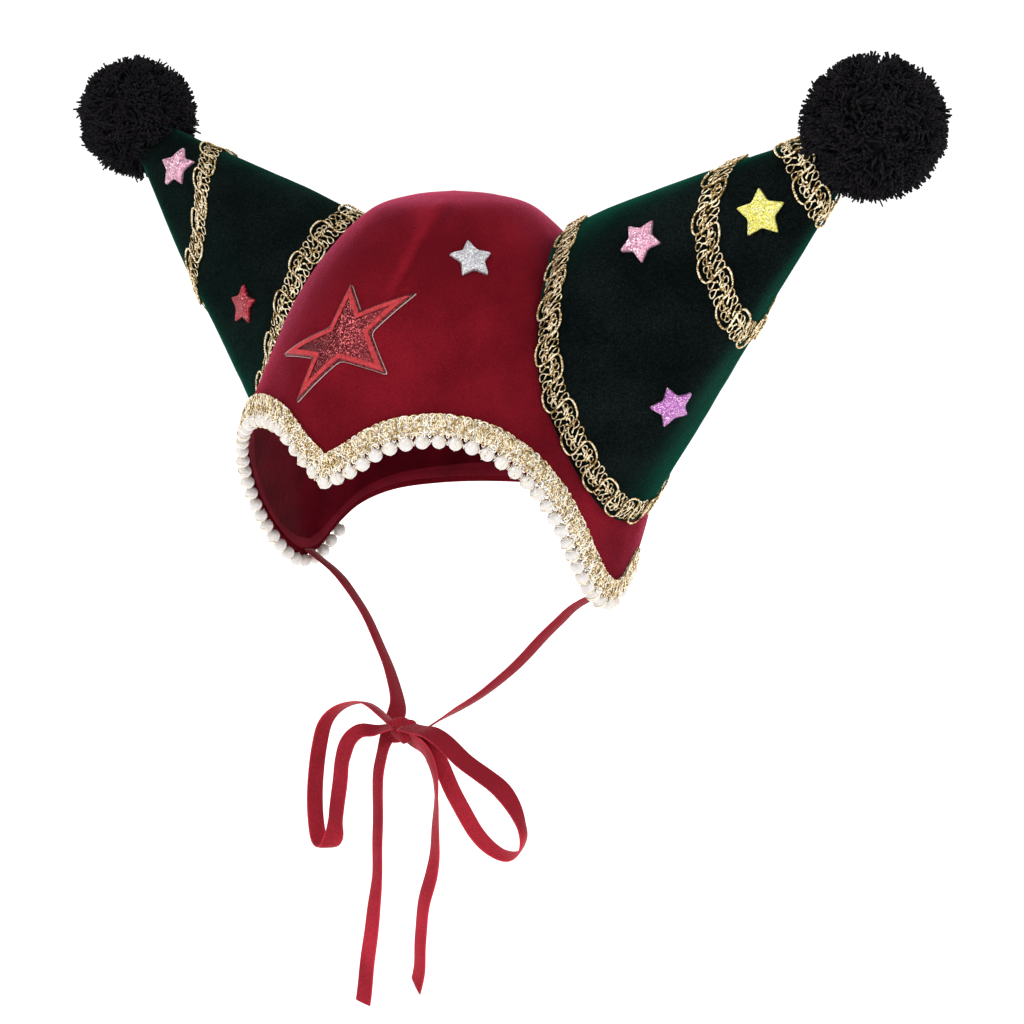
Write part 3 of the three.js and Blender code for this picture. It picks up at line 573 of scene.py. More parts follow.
class JesterClothSettings(bpy.types.PropertyGroup):
    crown_colour: colour_prop("Crown", "Red of the crown's velvet", (0.125, 0.0052, 0.0102))
    crown_sheen: colour_prop("Crown sheen", "Sheen of the crown's velvet", (0.9, 0.15, 0.29))
    horn_colour: colour_prop("Horns", "Green of the horns' velvet", (0.0031, 0.0048, 0.0046))
    horn_sheen: colour_prop("Horn sheen", "Sheen of the horns' velvet", (0.015, 0.3, 0.185))
    lining_colour: colour_prop("Lining", "Red of the lining", (0.13, 0.004, 0.012))
    columns: count_prop("Columns", "Columns of the cap's mesh", 240, 24, 400)


class JesterTrimSettings(bpy.types.PropertyGroup):
    gold: colour_prop("Gold", "Gold of the braids", (0.58, 0.35, 0.09))
    pale_gold: colour_prop("Pale gold", "Glints of the braids", (1, 0.88, 0.63))
    cream: colour_prop("Cream", "Cream thread of the face braid", (0.86, 0.75, 0.6))
    pearl: colour_prop("Pearl", "Colour of the pearls", (0.67, 0.63, 0.6))
    pearl_size: size_prop("Pearl size", "Diameter of a pearl", 0.0064)
    pearl_pitch: size_prop("Pearl pitch", "Room along the edge for each pearl", 0.0071)
    gimp_pitch: size_prop("Gimp pitch", "Length of one wave of the horn braid", 0.0205)
    gimp_reach: size_prop("Gimp reach", "How far the braid's wave swings out", 0.0074)
    cord_radius: size_prop("Gimp cord", "Radius of one strand of the wave", 0.00042)
    thread_radius: size_prop("Gimp thread", "Radius of the thread of the loops", 0.00032)


class JesterPompomSettings(bpy.types.PropertyGroup):
    colour: colour_prop("Yarn", "Colour of the yarn", (0.0048, 0.004, 0.0052))
    radius: size_prop("Radius", "Radius of a pompom", 0.031)
    strands: count_prop("Yarn ends", "Yarn ends in one pompom", 5400, 200, 6000)


class JesterStarSettings(bpy.types.PropertyGroup):
    radius: size_prop("Small star", "Middle to tip of a small star", 0.0103)
    thickness: size_prop("Thickness", "Thickness of a small star at its rim", 0.0014)
    big_radius: size_prop("Big star", "Middle to the furthest tip of the patch", 0.038)
    silver: colour_prop("Silver", "Silver glitter", (0.52, 0.52, 0.55))
    pink: colour_prop("Pink", "Pink glitter", (0.6, 0.26, 0.38))
    yellow: colour_prop("Yellow", "Yellow glitter", (0.63, 0.58, 0.09))
    purple: colour_prop("Purple", "Purple glitter", (0.4, 0.1, 0.4))
    red: colour_prop("Red", "Red glitter", (0.34, 0.02, 0.035))
    patch: colour_prop("Patch", "Glitter in the middle of the patch", (0.1, 0.01, 0.014))
    border: colour_prop("Border", "Satin stitches of the patch", (0.46, 0.035, 0.042))


class JesterRibbonSettings(bpy.types.PropertyGroup):
    colour: colour_prop("Ribbon", "Red of the ribbon", (0.27, 0.016, 0.027))
    width: size_prop("Width", "Width of the ribbon", 0.009)
    thickness: size_prop("Thickness", "Thickness of the ribbon", 0.0009)


class JesterStageSettings(bpy.types.PropertyGroup):
    floor_drop: size_prop("Floor", "Height of the hat's origin over the floor", 0.382, 0.3, 1)
    azimuth: bpy.props.FloatProperty(
        name="Azimuth", description="Camera angle round the hat", default=math.radians(34.4),
        subtype="ANGLE",
    )
    elevation: bpy.props.FloatProperty(
        name="Elevation", description="Camera angle above level", default=math.radians(10.1),
        subtype="ANGLE",
    )


# Operators ------------------------------------------------------------------------------


class JesterStage(bpy.types.Operator):
    """Pale floor, soft light and the camera"""

    bl_idname = "jester.stage"
    bl_label = "Stage"

    DISTANCE = 1.1129
    TARGET = (0, 0, -0.147)
    FOCAL_PIXELS = 2362.2
    PICTURE = 1024
    TARGET_PIXEL = 454.1

    def light(self, name, place, size, power):
        lamp = bpy.data.lights.new(name, "AREA")
        lamp.size, lamp.energy = size, power
        holder = bpy.data.objects.new(name, lamp)
        bpy.context.scene.collection.objects.link(holder)
        holder.location = place
        aim = Vector(self.TARGET) + Vector((0, 0, 0.06)) - Vector(place)
        holder.rotation_euler = aim.to_track_quat("-Z", "Y").to_euler()

    def execute(self, context):
        settings = context.scene.jester_stage
        scene = context.scene
        a, e = settings.azimuth, settings.elevation
        back = Vector((math.sin(a) * math.cos(e), -math.cos(a) * math.cos(e), math.sin(e)))
        camera = bpy.data.cameras.new("camera")
        camera.sensor_width = 36
        camera.lens = self.FOCAL_PIXELS / self.PICTURE * camera.sensor_width
        camera.shift_x = 0.5 - self.TARGET_PIXEL / self.PICTURE
        holder = bpy.data.objects.new("camera", camera)
        scene.collection.objects.link(holder)
        holder.location = Vector(self.TARGET) + back * self.DISTANCE
        holder.rotation_euler = (-back).to_track_quat("-Z", "Y").to_euler()
        scene.camera = holder
        scene.view_settings.view_transform = "Standard"

        bm = bmesh.new()
        bends = np.linspace(0, math.pi / 2, 16)
        profile = [(0, 0), *((3 + 1.5 * math.sin(t), 1.5 - 1.5 * math.cos(t)) for t in bends)]
        verts = [bm.verts.new((r, 0, z - settings.floor_drop)) for r, z in profile]
        edges = [bm.edges.new(pair) for pair in zip(verts, verts[1:])]
        bmesh.ops.spin(bm, geom=verts + edges, axis=(0, 0, 1), cent=(0, 0, 0), angle=TURN,
                       steps=72, use_merge=True)
        bmesh.ops.remove_doubles(bm, verts=bm.verts[:], dist=1e-5)
        bmesh.ops.recalc_face_normals(bm, faces=bm.faces[:])
        bmesh.ops.reverse_faces(bm, faces=[f for f in bm.faces if f.normal.z < -0.5])
        floor = bpy.data.objects.new("floor", to_mesh(bm, "floor"))
        scene.collection.objects.link(floor)
        finish = Finish("pale_floor", (0.92, 0.92, 0.92), Roughness=0.9,
                        Emission_Color=(1, 1, 1), Emission_Strength=0.34)
        mottle = finish.noise(3, 2.0).outputs["Fac"]
        finish.colour(finish.ramp(mottle, [(0.3, (0.9,) * 3), (0.7, (0.94,) * 3)]))
        floor.data.materials.append(finish.material)

        world = bpy.data.worlds.new("studio")
        world.use_nodes = True
        sky = world.node_tree.nodes["Background"]
        sky.inputs["Color"].default_value = (1, 1, 1, 1)
        sky.inputs["Strength"].default_value = 0.62
        scene.world = world
        self.light("key", (-0.35, -1.5, 1.35), 0.8, 19)
        self.light("fill", (1.8, -0.8, 0.5), 1.2, 8)
        self.light("back_left", (1.3, 1.3, 0.8), 1.0, 13)
        self.light("back_right", (-1.5, 0.9, 0.6), 1.0, 13)
        return {"FINISHED"}


def eased(vectors, window):
    """Vectors averaged with their neighbours along a path."""
    kernel = np.hanning(window + 2)[1:-1]
    padded = np.pad(vectors, ((window // 2, window // 2), (0, 0)), mode="edge")
    mixed = [np.convolve(padded[:, k], kernel / kernel.sum(), mode="valid") for k in range(3)]
    return np.stack(mixed, axis=-1)


def ribbon_lay(route, facing, turns=()):
    """Along a ribbon: its places, run, way across and way its face looks."""
    rough = spline(route, 60 * len(route))
    run = run_of(rough)
    here = np.linspace(0, run[-1], 401)
    path = at_run(here, run, rough)
    run = run_of(path)
    along = unit(np.gradient(path, axis=0))
    across = unit(eased(unit(np.cross(along, facing(path))), 41))
    outward = unit(np.cross(across, along))
    if turns:
        spin = np.radians(np.interp(run, *zip(*turns)))[:, None]
        across, outward = (
            across * np.cos(spin) + outward * np.sin(spin),
            outward * np.cos(spin) - across * np.sin(spin),
        )
    return path, run, across, outward


def ribbon_mesh(name, route, facing, slant=0.0, turns=(), pile=EVEN_PILE):
    """A velvet ribbon along a route; facing gives, from places, the way its face looks.

    The pile is lighter where it is above nought and darker below, by millimetres of run.
    """
    settings = bpy.context.scene.jester_ribbon
    width, thick = settings.width / MM, settings.thickness / MM
    path, run, across, outward = ribbon_lay(route, facing, turns)
    steps = max(24, round(run[-1] / RIBBON_STEP))

    def place(u, v):
        turn = v * TURN
        c, s = np.cos(turn), np.sin(turn)
        side = np.sign(c) * np.abs(c) ** 0.3
        face = np.sign(s) * np.abs(s) ** 0.3 * (1 - 0.25 * (np.abs(side) > 0.8))
        reach = run[-1] - slant * (side + 1) / 2
        here = u * reach
        ripple = 0.15 * np.sin(here * 0.21 + 1.3) + 0.18 * side**2 * np.sin(here * 0.13)
        point = at_run(here, run, path)
        point = point + at_run(here, run, across) * (side * width / 2)[:, None]
        point = point + at_run(here, run, outward) * (face * thick / 2 + ripple)[:, None]
        return point, smooth(0.86, 0.98, np.abs(side)) * 0.5 + np.interp(here, *zip(*pile))

    bm = woven(steps, RIBBON_SIDES, place, fill=True)
    return to_mesh(bm, name), path


def away_from(centre):
    return lambda places: places - np.array(centre, float)


def add_ribbon(name, material, route, facing, slant=0.0, turns=(),
               pile=EVEN_PILE):
    mesh, path = ribbon_mesh(name, route, facing, slant, turns, pile)
    piece = keep(name, mesh, material)
    line = at_run(np.linspace(0, 1, 40) * run_of(path)[-1], run_of(path), path) * MM
    float(run_of(path)[-1] * MM)
    return piece


class JesterTies(bpy.types.Operator):
    """Ribbon ties from the flaps to the bow"""

    bl_idname = "jester.ties"
    bl_label = "Ties"

    def execute(self, context):
        material = ribbon_finish()
        angle, _ = cap_place(np.array(TIE_ROUTE[0], float))
        hem = cap_lifted(angle, edge_depth(angle) - HEM_SETBACK + 0.6, TIE_LIFT)
        route = np.vstack([hem, TIE_ROUTE[1:]])
        for name, side in (("tie_left", 1), ("tie_right", -1)):
            add_ribbon(name, material, mirrored(route, side), away_from(THROAT),
                       pile=((0, -0.35),))
        return {"FINISHED"}


def ribbon_finish():
    found = bpy.data.materials.get("velvet_ribbon")
    colour = bpy.context.scene.jester_ribbon.colour
    return found or velvet("velvet_ribbon", colour, (1, 0.5, 0.52), 0.5)


class JesterBow(bpy.types.Operator):
    """The bow: knot, two loops and two tails"""

    bl_idname = "jester.bow"
    bl_label = "Bow"

    # How the ribbons turn over along their run: millimetres and degrees
    TURNS = {
        "bow_loop_left": ((0, 0), (24, -10), (66, -18), (84, 20), (96, 24), (112, 4), (130, 0),
                          (200, 0)),
        "bow_loop_right": ((0, 0), (20, 0), (36, -40), (66, -42), (84, 0), (96, 5), (200, 0)),
        "bow_tail_left": ((0, -20), (24, -26), (36, -41), (42, -47), (50, -42), (59, -34),
                          (81, -21), (200, -21)),
        "bow_tail_right": ((0, -10), (16, -22), (76, -25), (94, -12), (112, -8), (136, -4)),
    }
    # How light the pile is where it isn't even, by millimetres of run
    PILE = {"bow_loop_left": ((84, -0.25), (92, 0.22))}

    def knot(self):
        def place(u, v):
            turn, share = u * TURN, v * 2 - 1
            waist = np.sqrt(np.maximum(1 - np.abs(share) ** 2.6, 0))
            lap = smooth(-0.35, -0.25, share + 0.25 * np.sin(turn)) * 0.13
            fold = 0.9 + lap + 0.1 * np.sin(2 * turn + 2.5 * share)
            fold = fold + 0.05 * np.cos(11 * share + turn)
            x = KNOT_HALF[0] * share + 0.9 * np.sin(2 * turn)
            y = KNOT_HALF[1] * np.cos(turn) * waist * fold
            z = KNOT_HALF[2] * np.sin(turn + 0.4 * share) * waist * fold
            return np.array(KNOT_PLACE) + np.stack([x, y, z], axis=-1)

        return to_mesh(woven(56, 30, place), "bow_knot")

    def execute(self, context):
        material = ribbon_finish()
        keep("bow_knot", self.knot(), material)
        for name, route, side in (
            ("bow_loop_left", LOOP_LEFT_ROUTE, 1), ("bow_loop_right", LOOP_RIGHT_ROUTE, -1),
        ):
            middle = np.mean(route, axis=0)
            route = (
                np.array(KNOT_PLACE) + (2 * side, -2, 2.5), *route,
                np.array(KNOT_PLACE) + (3 * side, 0, 0),
            )
            add_ribbon(name, material, route, away_from(middle),
                       turns=self.TURNS[name], pile=self.PILE.get(name, EVEN_PILE))
        forward = lambda places: np.broadcast_to([0, -1.0, 0], places.shape)
        left = (np.array(KNOT_PLACE) + (1, 1, -2), *TAIL_LEFT_ROUTE)
        right = (np.array(KNOT_PLACE) + (-1, -1, -1), *TAIL_RIGHT_ROUTE)
        add_ribbon("bow_tail_left", material, left, forward, 4,
                   turns=self.TURNS["bow_tail_left"])
        add_ribbon("bow_tail_right", material, right, forward, -0.8,
                   turns=self.TURNS["bow_tail_right"])
        return {"FINISHED"}


def soft_noise(points, grain, seed=0.0):
    """Smooth noise at places in millimetres, about -1 to 1."""
    return np.array([noise.noise(Vector(p) / grain + Vector((seed, 0, 0))) for p in points])


class JesterCap(bpy.types.Operator):
    """The crown and flaps in crushed velvet, with a turned hem"""

    bl_idname = "jester.cap"
    bl_label = "Cap"

    # The crease flattened into the left of the crown, with painted shade along it: share of the
    # depth and angle
    CREASE = ((0.018, 37.2), (0.065, 31), (0.117, 25.2), (0.172, 21.2), (0.221, 17.5))
    HEM_RADIUS = 0.75
    OUTER_ROWS = 104
    INNER_ROWS = 26

    def profile(self):
        """Rows from the top, down the face, round the hem and back up inside."""
        column = cap_point(np.full(401, 60.0), np.linspace(0, 1, 401) ** 2 * edge_depth(60.0))
        run = run_of(column)
        down = np.interp(np.linspace(0, run[-1], self.OUTER_ROWS), run, np.linspace(0, 1, 401) ** 2)
        rows = [(share, -self.HEM_RADIUS * smooth(0.985, 1, share), 0) for share in down]
        for i in range(1, 8):
            turn = math.pi * i / 8
            rows.append((1, self.HEM_RADIUS * (math.sin(turn) - 1),
                         -VELVET / 2 * (1 - math.cos(turn))))
        up = np.linspace(1, 0, self.INNER_ROWS)
        rows += [(share, -self.HEM_RADIUS, -VELVET) for share in up]
        return row_lookup(rows)

    def execute(self, context):
        settings = context.scene.jester_cloth
        rows = self.profile()

        def place(u, v):
            angle = u * 360 - 180
            share, nose, lift = rows(v)
            depth = share * edge_depth(angle) + nose * (share > 0.9)
            flat = cap_point(angle, np.maximum(depth, 0))
            front = lift > -0.01
            crease = 0.3 * soft_noise(flat, 26) + 0.12 * soft_noise(flat, 9, 4)
            still = smooth(0, 0.1, share) * (1 - smooth(0.93, 1, share))
            along = depth / CAP_DEPTH
            middle = np.interp(along, *zip(*self.CREASE))
            fade = smooth(0.012, 0.04, along) * (1 - smooth(0.16, 0.27, along))
            off = (angle - middle) * np.maximum(depth, 8) / 60
            fold = np.exp(-((off / 0.8) ** 2)) * fade
            bank = np.exp(-(((off + 1.9) / 1.3) ** 2)) * fade
            tuck = TUCK_DEPTH * np.exp(-(((angle - TUCK_ANGLE) / TUCK_WIDTH) ** 2))
            tuck = tuck * smooth(0.01, 0.05, along) * (1 - smooth(0.14, 0.24, along))
            lift = lift + front * (still * crease - 0.45 * fold + 0.6 * tuck)
            # Mark: flattened pile, lighter, on the bank beside the fold, and painted shade in the
            # fold itself.
            return cap_lifted(angle, np.maximum(depth, 0), lift), front * (0.3 * bank - 0.15 * fold)

        bm = woven(settings.columns, self.OUTER_ROWS + self.INNER_ROWS + 6, place)
        material = velvet("crown_velvet", settings.crown_colour, settings.crown_sheen)
        keep("cap", to_mesh(bm, "cap"), material)
        return {"FINISHED"}


class JesterLining(bpy.types.Operator):
    """The lining, with its seam a thumb's width above the edge"""

    bl_idname = "jester.lining"
    bl_label = "Lining"

    SEAM_UP = 12.0
    SEAM_DEPTH = 0.55
    COLUMNS = 180

    def execute(self, context):
        settings = context.scene.jester_cloth
        inner = -CROWN_TOP
        outer = inner + LINING
        shares = np.concatenate([np.linspace(0, 0.8, 50) ** 0.8, np.linspace(0.81, 1, 41)])
        rows = [(share, inner) for share in shares]
        rows += [(share, outer) for share in (1, 1, 0.5, 0)]
        lookup = row_lookup(rows)

        def place(u, v):
            angle = u * 360 - 180
            share, lift = lookup(v)
            bottom = edge_depth(angle) - HEM_SETBACK
            depth = share * bottom
            up = bottom - depth
            inside = np.clip((outer - lift) / LINING, 0, 1)
            ridge = np.exp(-((up - self.SEAM_UP) / 0.9) ** 2)
            bulge = 0.35 * smooth(0, 3, up) * (1 - smooth(9, self.SEAM_UP, up))
            away = np.abs((angle + 45) % 90 - 45) * depth / 60
            gore = np.exp(-((away / 1.1) ** 2)) * smooth(8, 30, depth)
            soft = 0.2 * soft_noise(cap_point(angle, depth), 24, 9)
            move = self.SEAM_DEPTH * (ridge + 0.35 * gore) - bulge + soft * smooth(4, 30, up)
            return cap_lifted(angle, depth, lift + inside * np.minimum(move, LINING - 0.15))

        bm = woven(self.COLUMNS, len(rows) - 1, place)
        material = cloth("lining_cloth", settings.lining_colour, gloss=0.05)
        keep("lining", to_mesh(bm, "lining"), material)
        return {"FINISHED"}


class JesterHorns(bpy.types.Operator):
    """The two horns in green velvet"""

    bl_idname = "jester.horns"
    bl_label = "Horns"

    COLUMNS = 150
    ROWS = 92

    def execute(self, context):
        settings = context.scene.jester_cloth
        material = velvet("horn_velvet", settings.horn_colour, settings.horn_sheen, 0.6, 2.2,
                          0.6)
        outer = [(share, 0) for share in np.linspace(-0.003, 1, self.ROWS)]
        inner = [(share, -HORN_WALL) for share in np.linspace(1, -0.003, 16)]
        rows = row_lookup(outer + inner)
        for name, side in (("horn_left", 1), ("horn_right", -1)):

            def place(u, v, side=side):
                turn = u * TURN
                share, lift = rows(v)
                flat = horn_point(turn, np.maximum(share, 0), side)
                front = lift > -0.01
                crease = 0.4 * soft_noise(flat, 30, side) + 0.13 * soft_noise(flat, 9, side + 3)
                seam = np.exp(-(((np.abs(turn - TURN * 0.75)) / 0.03) ** 2)) * 0.12
                root = 1.2 * (1 - smooth(-0.003, 0.02, share))
                still = smooth(0.05, 0.15, share) * (1 - smooth(0.9, 1, share))
                lift = lift + front * (still * crease - seam - root)
                return mirrored(horn_lifted(turn, share, lift, side), side)

            bm = woven(self.COLUMNS, self.ROWS + 15, place)
            keep(name, to_mesh(bm, name), material)
        return {"FINISHED"}


class JesterPompoms(bpy.types.Operator):
    """Cut yarn pompoms on the horn ends"""

    bl_idname = "jester.pompoms"
    bl_label = "Pompoms"

    TUFT = 12

    @staticmethod
    def scatter(draw):
        return np.array([draw.gauss(0, 1) for _ in range(3)])

    def execute(self, context):
        settings = context.scene.jester_pompom
        material = yarn("black_yarn", settings.colour)
        radius = settings.radius / MM
        golden = math.pi * (3 - math.sqrt(5))
        for name, side, seed in (("pompom_left", 1, 5), ("pompom_right", -1, 11)):
            draw = random.Random(seed)
            noise.seed_set(seed)
            centre = mirrored(HORN_TIP + np.array(POMPOM_OFFSET[side], float), side)
            away = mirrored(-HORN_AXIS, side)
            lines = []
            tufts = settings.strands // self.TUFT
            for i in range(tufts):
                z = 1 - 2 * (i + 0.5) / tufts
                ring = math.sqrt(1 - z * z)
                out = np.array([ring * math.cos(golden * i), ring * math.sin(golden * i), z])
                flow = np.array(noise.noise_vector(Vector(out * 2.1) + Vector((seed, 0, 0))))
                out = unit(out + 0.16 * flow + 0.07 * self.scatter(draw))
                lie = unit(out + 0.2 * flow + 0.13 * self.scatter(draw))
                tall = draw.uniform(0.9, 1.0)
                for _ in range(self.TUFT):
                    lean = unit(lie + 0.085 * self.scatter(draw))
                    if lean @ away > 0.93:
                        continue
                    reach = tall + draw.uniform(-0.035, 0.025)
                    if draw.random() < 0.025:
                        reach += draw.uniform(0.02, 0.08)
                    start = unit(out + 0.05 * self.scatter(draw))
                    bend = 0.02 * self.scatter(draw)
                    thick = draw.uniform(0.42, 0.66)
                    lines.append((
                        [centre + radius * 0.52 * start,
                         centre + radius * (0.8 * unit(0.45 * start + 0.55 * lean) + bend),
                         centre + radius * reach * lean],
                        (thick * 1.2, thick, thick * 0.75), False,
                    ))
            mesh = strands(name, lines)
            bm = bmesh.new()
            bm.from_mesh(mesh)
            core = bmesh.ops.create_icosphere(bm, subdivisions=3, radius=radius * 0.76 * MM)
            bmesh.ops.translate(bm, verts=core["verts"], vec=Vector(centre * MM))
            bpy.data.meshes.remove(mesh)
            keep(name, to_mesh(bm, name), material)
        return {"FINISHED"}


def line_share(line, turn):
    _, top, front, bottom, behind = line
    over, ahead = np.sin(turn), np.cos(turn)
    upright = np.where(over > 0, top, bottom)
    level = np.where(ahead > 0, front, behind)
    return upright * over**2 + level * ahead**2


def horn_lane(line):
    """Length round a horn along a braid's line, and places by run, distance across and lift."""
    turns = np.linspace(0, TURN, 1441)
    run = run_of(horn_point(turns, line_share(line, turns), line[0]))
    lengths = np.linalg.norm(horn_point(turns, 0) - horn_point(turns, 1), axis=-1)

    def place(s, across, lift):
        turn = np.interp(np.mod(s, run[-1]), run, turns)
        share = line_share(line, turn) + across / np.interp(turn, turns, lengths)
        return mirrored(horn_lifted(turn, share, lift, line[0]), line[0])

    return run[-1], place


def curl(foot, tall, breadth, tilt):
    """A curl of thread on its stem: runs and distances across from the middle line."""
    t = np.linspace(0, TURN, 15)
    out = (1 - np.cos(t)) / 2
    wide = np.sin(t) * out**0.6
    a, b = out * tall, wide / np.ptp(wide) * breadth
    run = foot[0] + a * math.sin(tilt) + b * math.cos(tilt)
    across = foot[1] + a * math.cos(tilt) - b * math.sin(tilt)
    stem = foot[0] - foot[1] * 0.5
    return (np.concatenate([[stem - 0.3], run, [stem + 0.3]]),
            np.concatenate([[0.0], across, [0.0]]),
            np.concatenate([[1], 1 - out, [1]]))


def gimp(name, line, settings, seed):
    """Scroll gimp: a twisted cord in bends from side to side, with three curls inside each
    bend and three more facing it."""
    total, place = horn_lane(line)
    waves = max(2, round(total / (settings.gimp_pitch / MM)))
    pitch = total / waves
    reach, cord, thread = (
        getattr(settings, key) / MM for key in ("gimp_reach", "cord_radius", "thread_radius")
    )
    draw = random.Random(seed)
    lines = []
    phase = np.linspace(0, TURN * waves, waves * 72, endpoint=False)
    s = pitch * phase / TURN - 2.0 * np.sin(2 * phase)
    swing = reach * (np.sin(phase) + 0.04 * np.sin(3 * phase))
    length = run_of(np.stack([s, swing], axis=-1))
    for strand in (0, math.pi):
        twist = length / 2.2 * TURN + strand
        lines.append((place(
            s + 0.8 * cord * np.cos(twist) * np.cos(phase),
            swing + 0.8 * cord * np.cos(twist) * np.abs(np.sin(phase)),
            1.25 + 0.8 * cord * np.sin(twist),
        ), cord, True))
    inner = np.linspace(0, TURN * waves, waves * 30, endpoint=False)
    lines.append((place(
        pitch * inner / TURN - 1.2 * np.sin(2 * inner), reach * 0.28 * np.sin(inner),
        0.8 + 0.15 * np.cos(2 * inner),
    ), thread, True))
    # Inside the bend and facing it: foot, length and breadth in mm, fan and spread of the feet
    fans = ((1, 1.5, 3.4, 2.6, 0.85, 1.2), (-1, 2.0, 3.9, 2.8, 0.28, 3.0))
    for k in range(waves * 2):
        middle = pitch * (0.25 + k / 2)
        side = 1 if k % 2 == 0 else -1
        for way, base, tall, breadth, fan, spread in fans:
            for j in (-1, 0, 1):
                run, across, up = curl(
                    (spread * j, base - 0.25 * abs(j)), tall + draw.uniform(-0.3, 0.3),
                    breadth + draw.uniform(-0.3, 0.3), fan * j + draw.uniform(-0.12, 0.12),
                )
                lift = 0.45 + 0.45 * up + 0.15 * j + draw.uniform(-0.1, 0.15)
                lines.append((place(middle + run, side * way * across, lift), thread, False))
    axis = mirrored(HORN_AXIS, line[0])

    # The way out from the horn, for the threads' painted side shade.
    def outward(places):
        off = places - mirrored(HORN_ROOT, line[0])
        return unit(off - np.outer(off @ axis, axis))

    return strands(name, lines, outward=outward)


class JesterHornBraids(bpy.types.Operator):
    """Gold scroll gimp round the horns"""

    bl_idname = "jester.horn_braids"
    bl_label = "Horn braids"

    def execute(self, context):
        settings = context.scene.jester_trim
        material = gold_finish()
        for seed, (name, line) in enumerate(BRAID_LINES.items()):
            keep(name, gimp(name, line, settings, seed), material)
        return {"FINISHED"}


def gold_finish():
    settings = bpy.context.scene.jester_trim
    found = bpy.data.materials.get("twisted_gold")
    return found or metal_thread("twisted_gold", settings.gold, settings.pale_gold)


class EdgeLane:
    """The edge of the face: places by run along it, distance in from it and lift."""

    def __init__(self):
        angles = np.linspace(-TRIM_END_ANGLE, TRIM_END_ANGLE, 2401)
        self.points = cap_point(angles, edge_depth(angles))
        self.normals = cap_normal(angles, edge_depth(angles))
        self.inward = unit(np.cross(self.normals, np.gradient(self.points, axis=0)))
        self.run = run_of(self.points)
        self.total = self.run[-1]

    def place(self, s, lane, lift):
        s = np.clip(s, 0, self.total)
        point = at_run(s, self.run, self.points)
        inward = unit(at_run(s, self.run, self.inward))
        spot = point + inward * np.maximum(lane, 0)[..., None]
        on_cloth = cap_lifted(*cap_place(spot), lift)
        beyond = at_run(s, self.run, self.normals) * np.asarray(lift)[..., None]
        past = point + inward * np.minimum(lane, 0)[..., None] + beyond
        return np.where((lane > 0)[..., None], on_cloth, past)


class JesterFaceBraid(bpy.types.Operator):
    """Looped gold braid on the velvet along the face"""

    bl_idname = "jester.face_braid"
    bl_label = "Face braid"

    def execute(self, context):
        settings = context.scene.jester_trim
        edge = EdgeLane()
        draw = random.Random(21)

        def row(centre, swing, pitch, start, lift, radius, sway=1.15):
            count = round(edge.total / pitch)
            phase = np.linspace(0, TURN * count, count * 10) + start
            s = (phase - start) / TURN * edge.total / count + sway * np.sin(phase)
            lane = centre + swing * np.cos(phase)
            rise = lift + 0.25 * np.sin(phase * 0.5 + start) + 0.2 * np.sin(phase * 1.7)
            return edge.place(s, lane, rise), radius, False

        base = [row(*r, 0.36) for r in (
            (2.4, 1.7, 3.3, 0.4, 0.95), (6.2, 1.8, 3.3, 2.1, 0.95), (0.0, 1.2, 2.6, 1.0, 1.2),
        )]
        lines = [row(*r, 0.33) for r in (
            (1.2, 1.6, 3.6, 0.3, 1.4), (4.1, 2.1, 3.4, 1.9, 1.35), (6.9, 1.7, 3.0, 3.1, 1.25),
        )]
        count = round(edge.total / 3.2)
        for k in range(count):
            middle = (k + 0.5) * edge.total / count
            way = draw.uniform(-0.6, 0.6)
            t = np.linspace(0, TURN, 20)
            lane = 4.3 + 4.4 * np.cos(t)
            s = middle + 1.35 * np.sin(2 * t) + way * 2.4 * np.cos(t) + draw.uniform(-0.3, 0.3)
            lift = 1.35 + 0.35 * np.cos(2 * t + k)
            target = base if k % 3 == 1 else lines
            target.append((edge.place(s, lane, lift), 0.3, False))
        # Level way out from the hat, for the threads' painted side shade.
        level = lambda places: unit(places * np.array([1, 1, 0]))
        gold = metal_thread("edge_gold", settings.gold, settings.pale_gold, 0.5, 0.4)
        keep("face_braid", strands("face_braid", lines, outward=level), gold)
        keep("face_braid_cream", strands("face_braid_cream", base, outward=level),
             cream_finish(), ("face_braid",))
        rows = row_lookup((
            (0.0, 0.1), (0.0, 0.5), (2.8, 0.55), (5.5, 0.55), (8.0, 0.5), (8.0, 0.1), (0.0, 0.1),
        ))

        def place(u, v):
            lane, lift = rows(v)
            s = u * edge.total
            rise = lift + 0.12 * np.sin(s * 1.3 + lane)
            return edge.place(s, lane + 0.25 * np.sin(s * 1.9), rise)

        tape = to_mesh(woven(420, 12, place, fill=True), "face_braid_tape")
        ground = metal_thread("braid_ground", settings.gold, settings.pale_gold, 0.3, 0.55)
        keep("face_braid_tape", tape, ground, ("face_braid",))
        return {"FINISHED"}


def cream_finish():
    settings = bpy.context.scene.jester_trim
    found = bpy.data.materials.get("twisted_cream")
    return found or metal_thread("twisted_cream", settings.cream, (0.97, 0.94, 0.88), 0.1, 0.6)


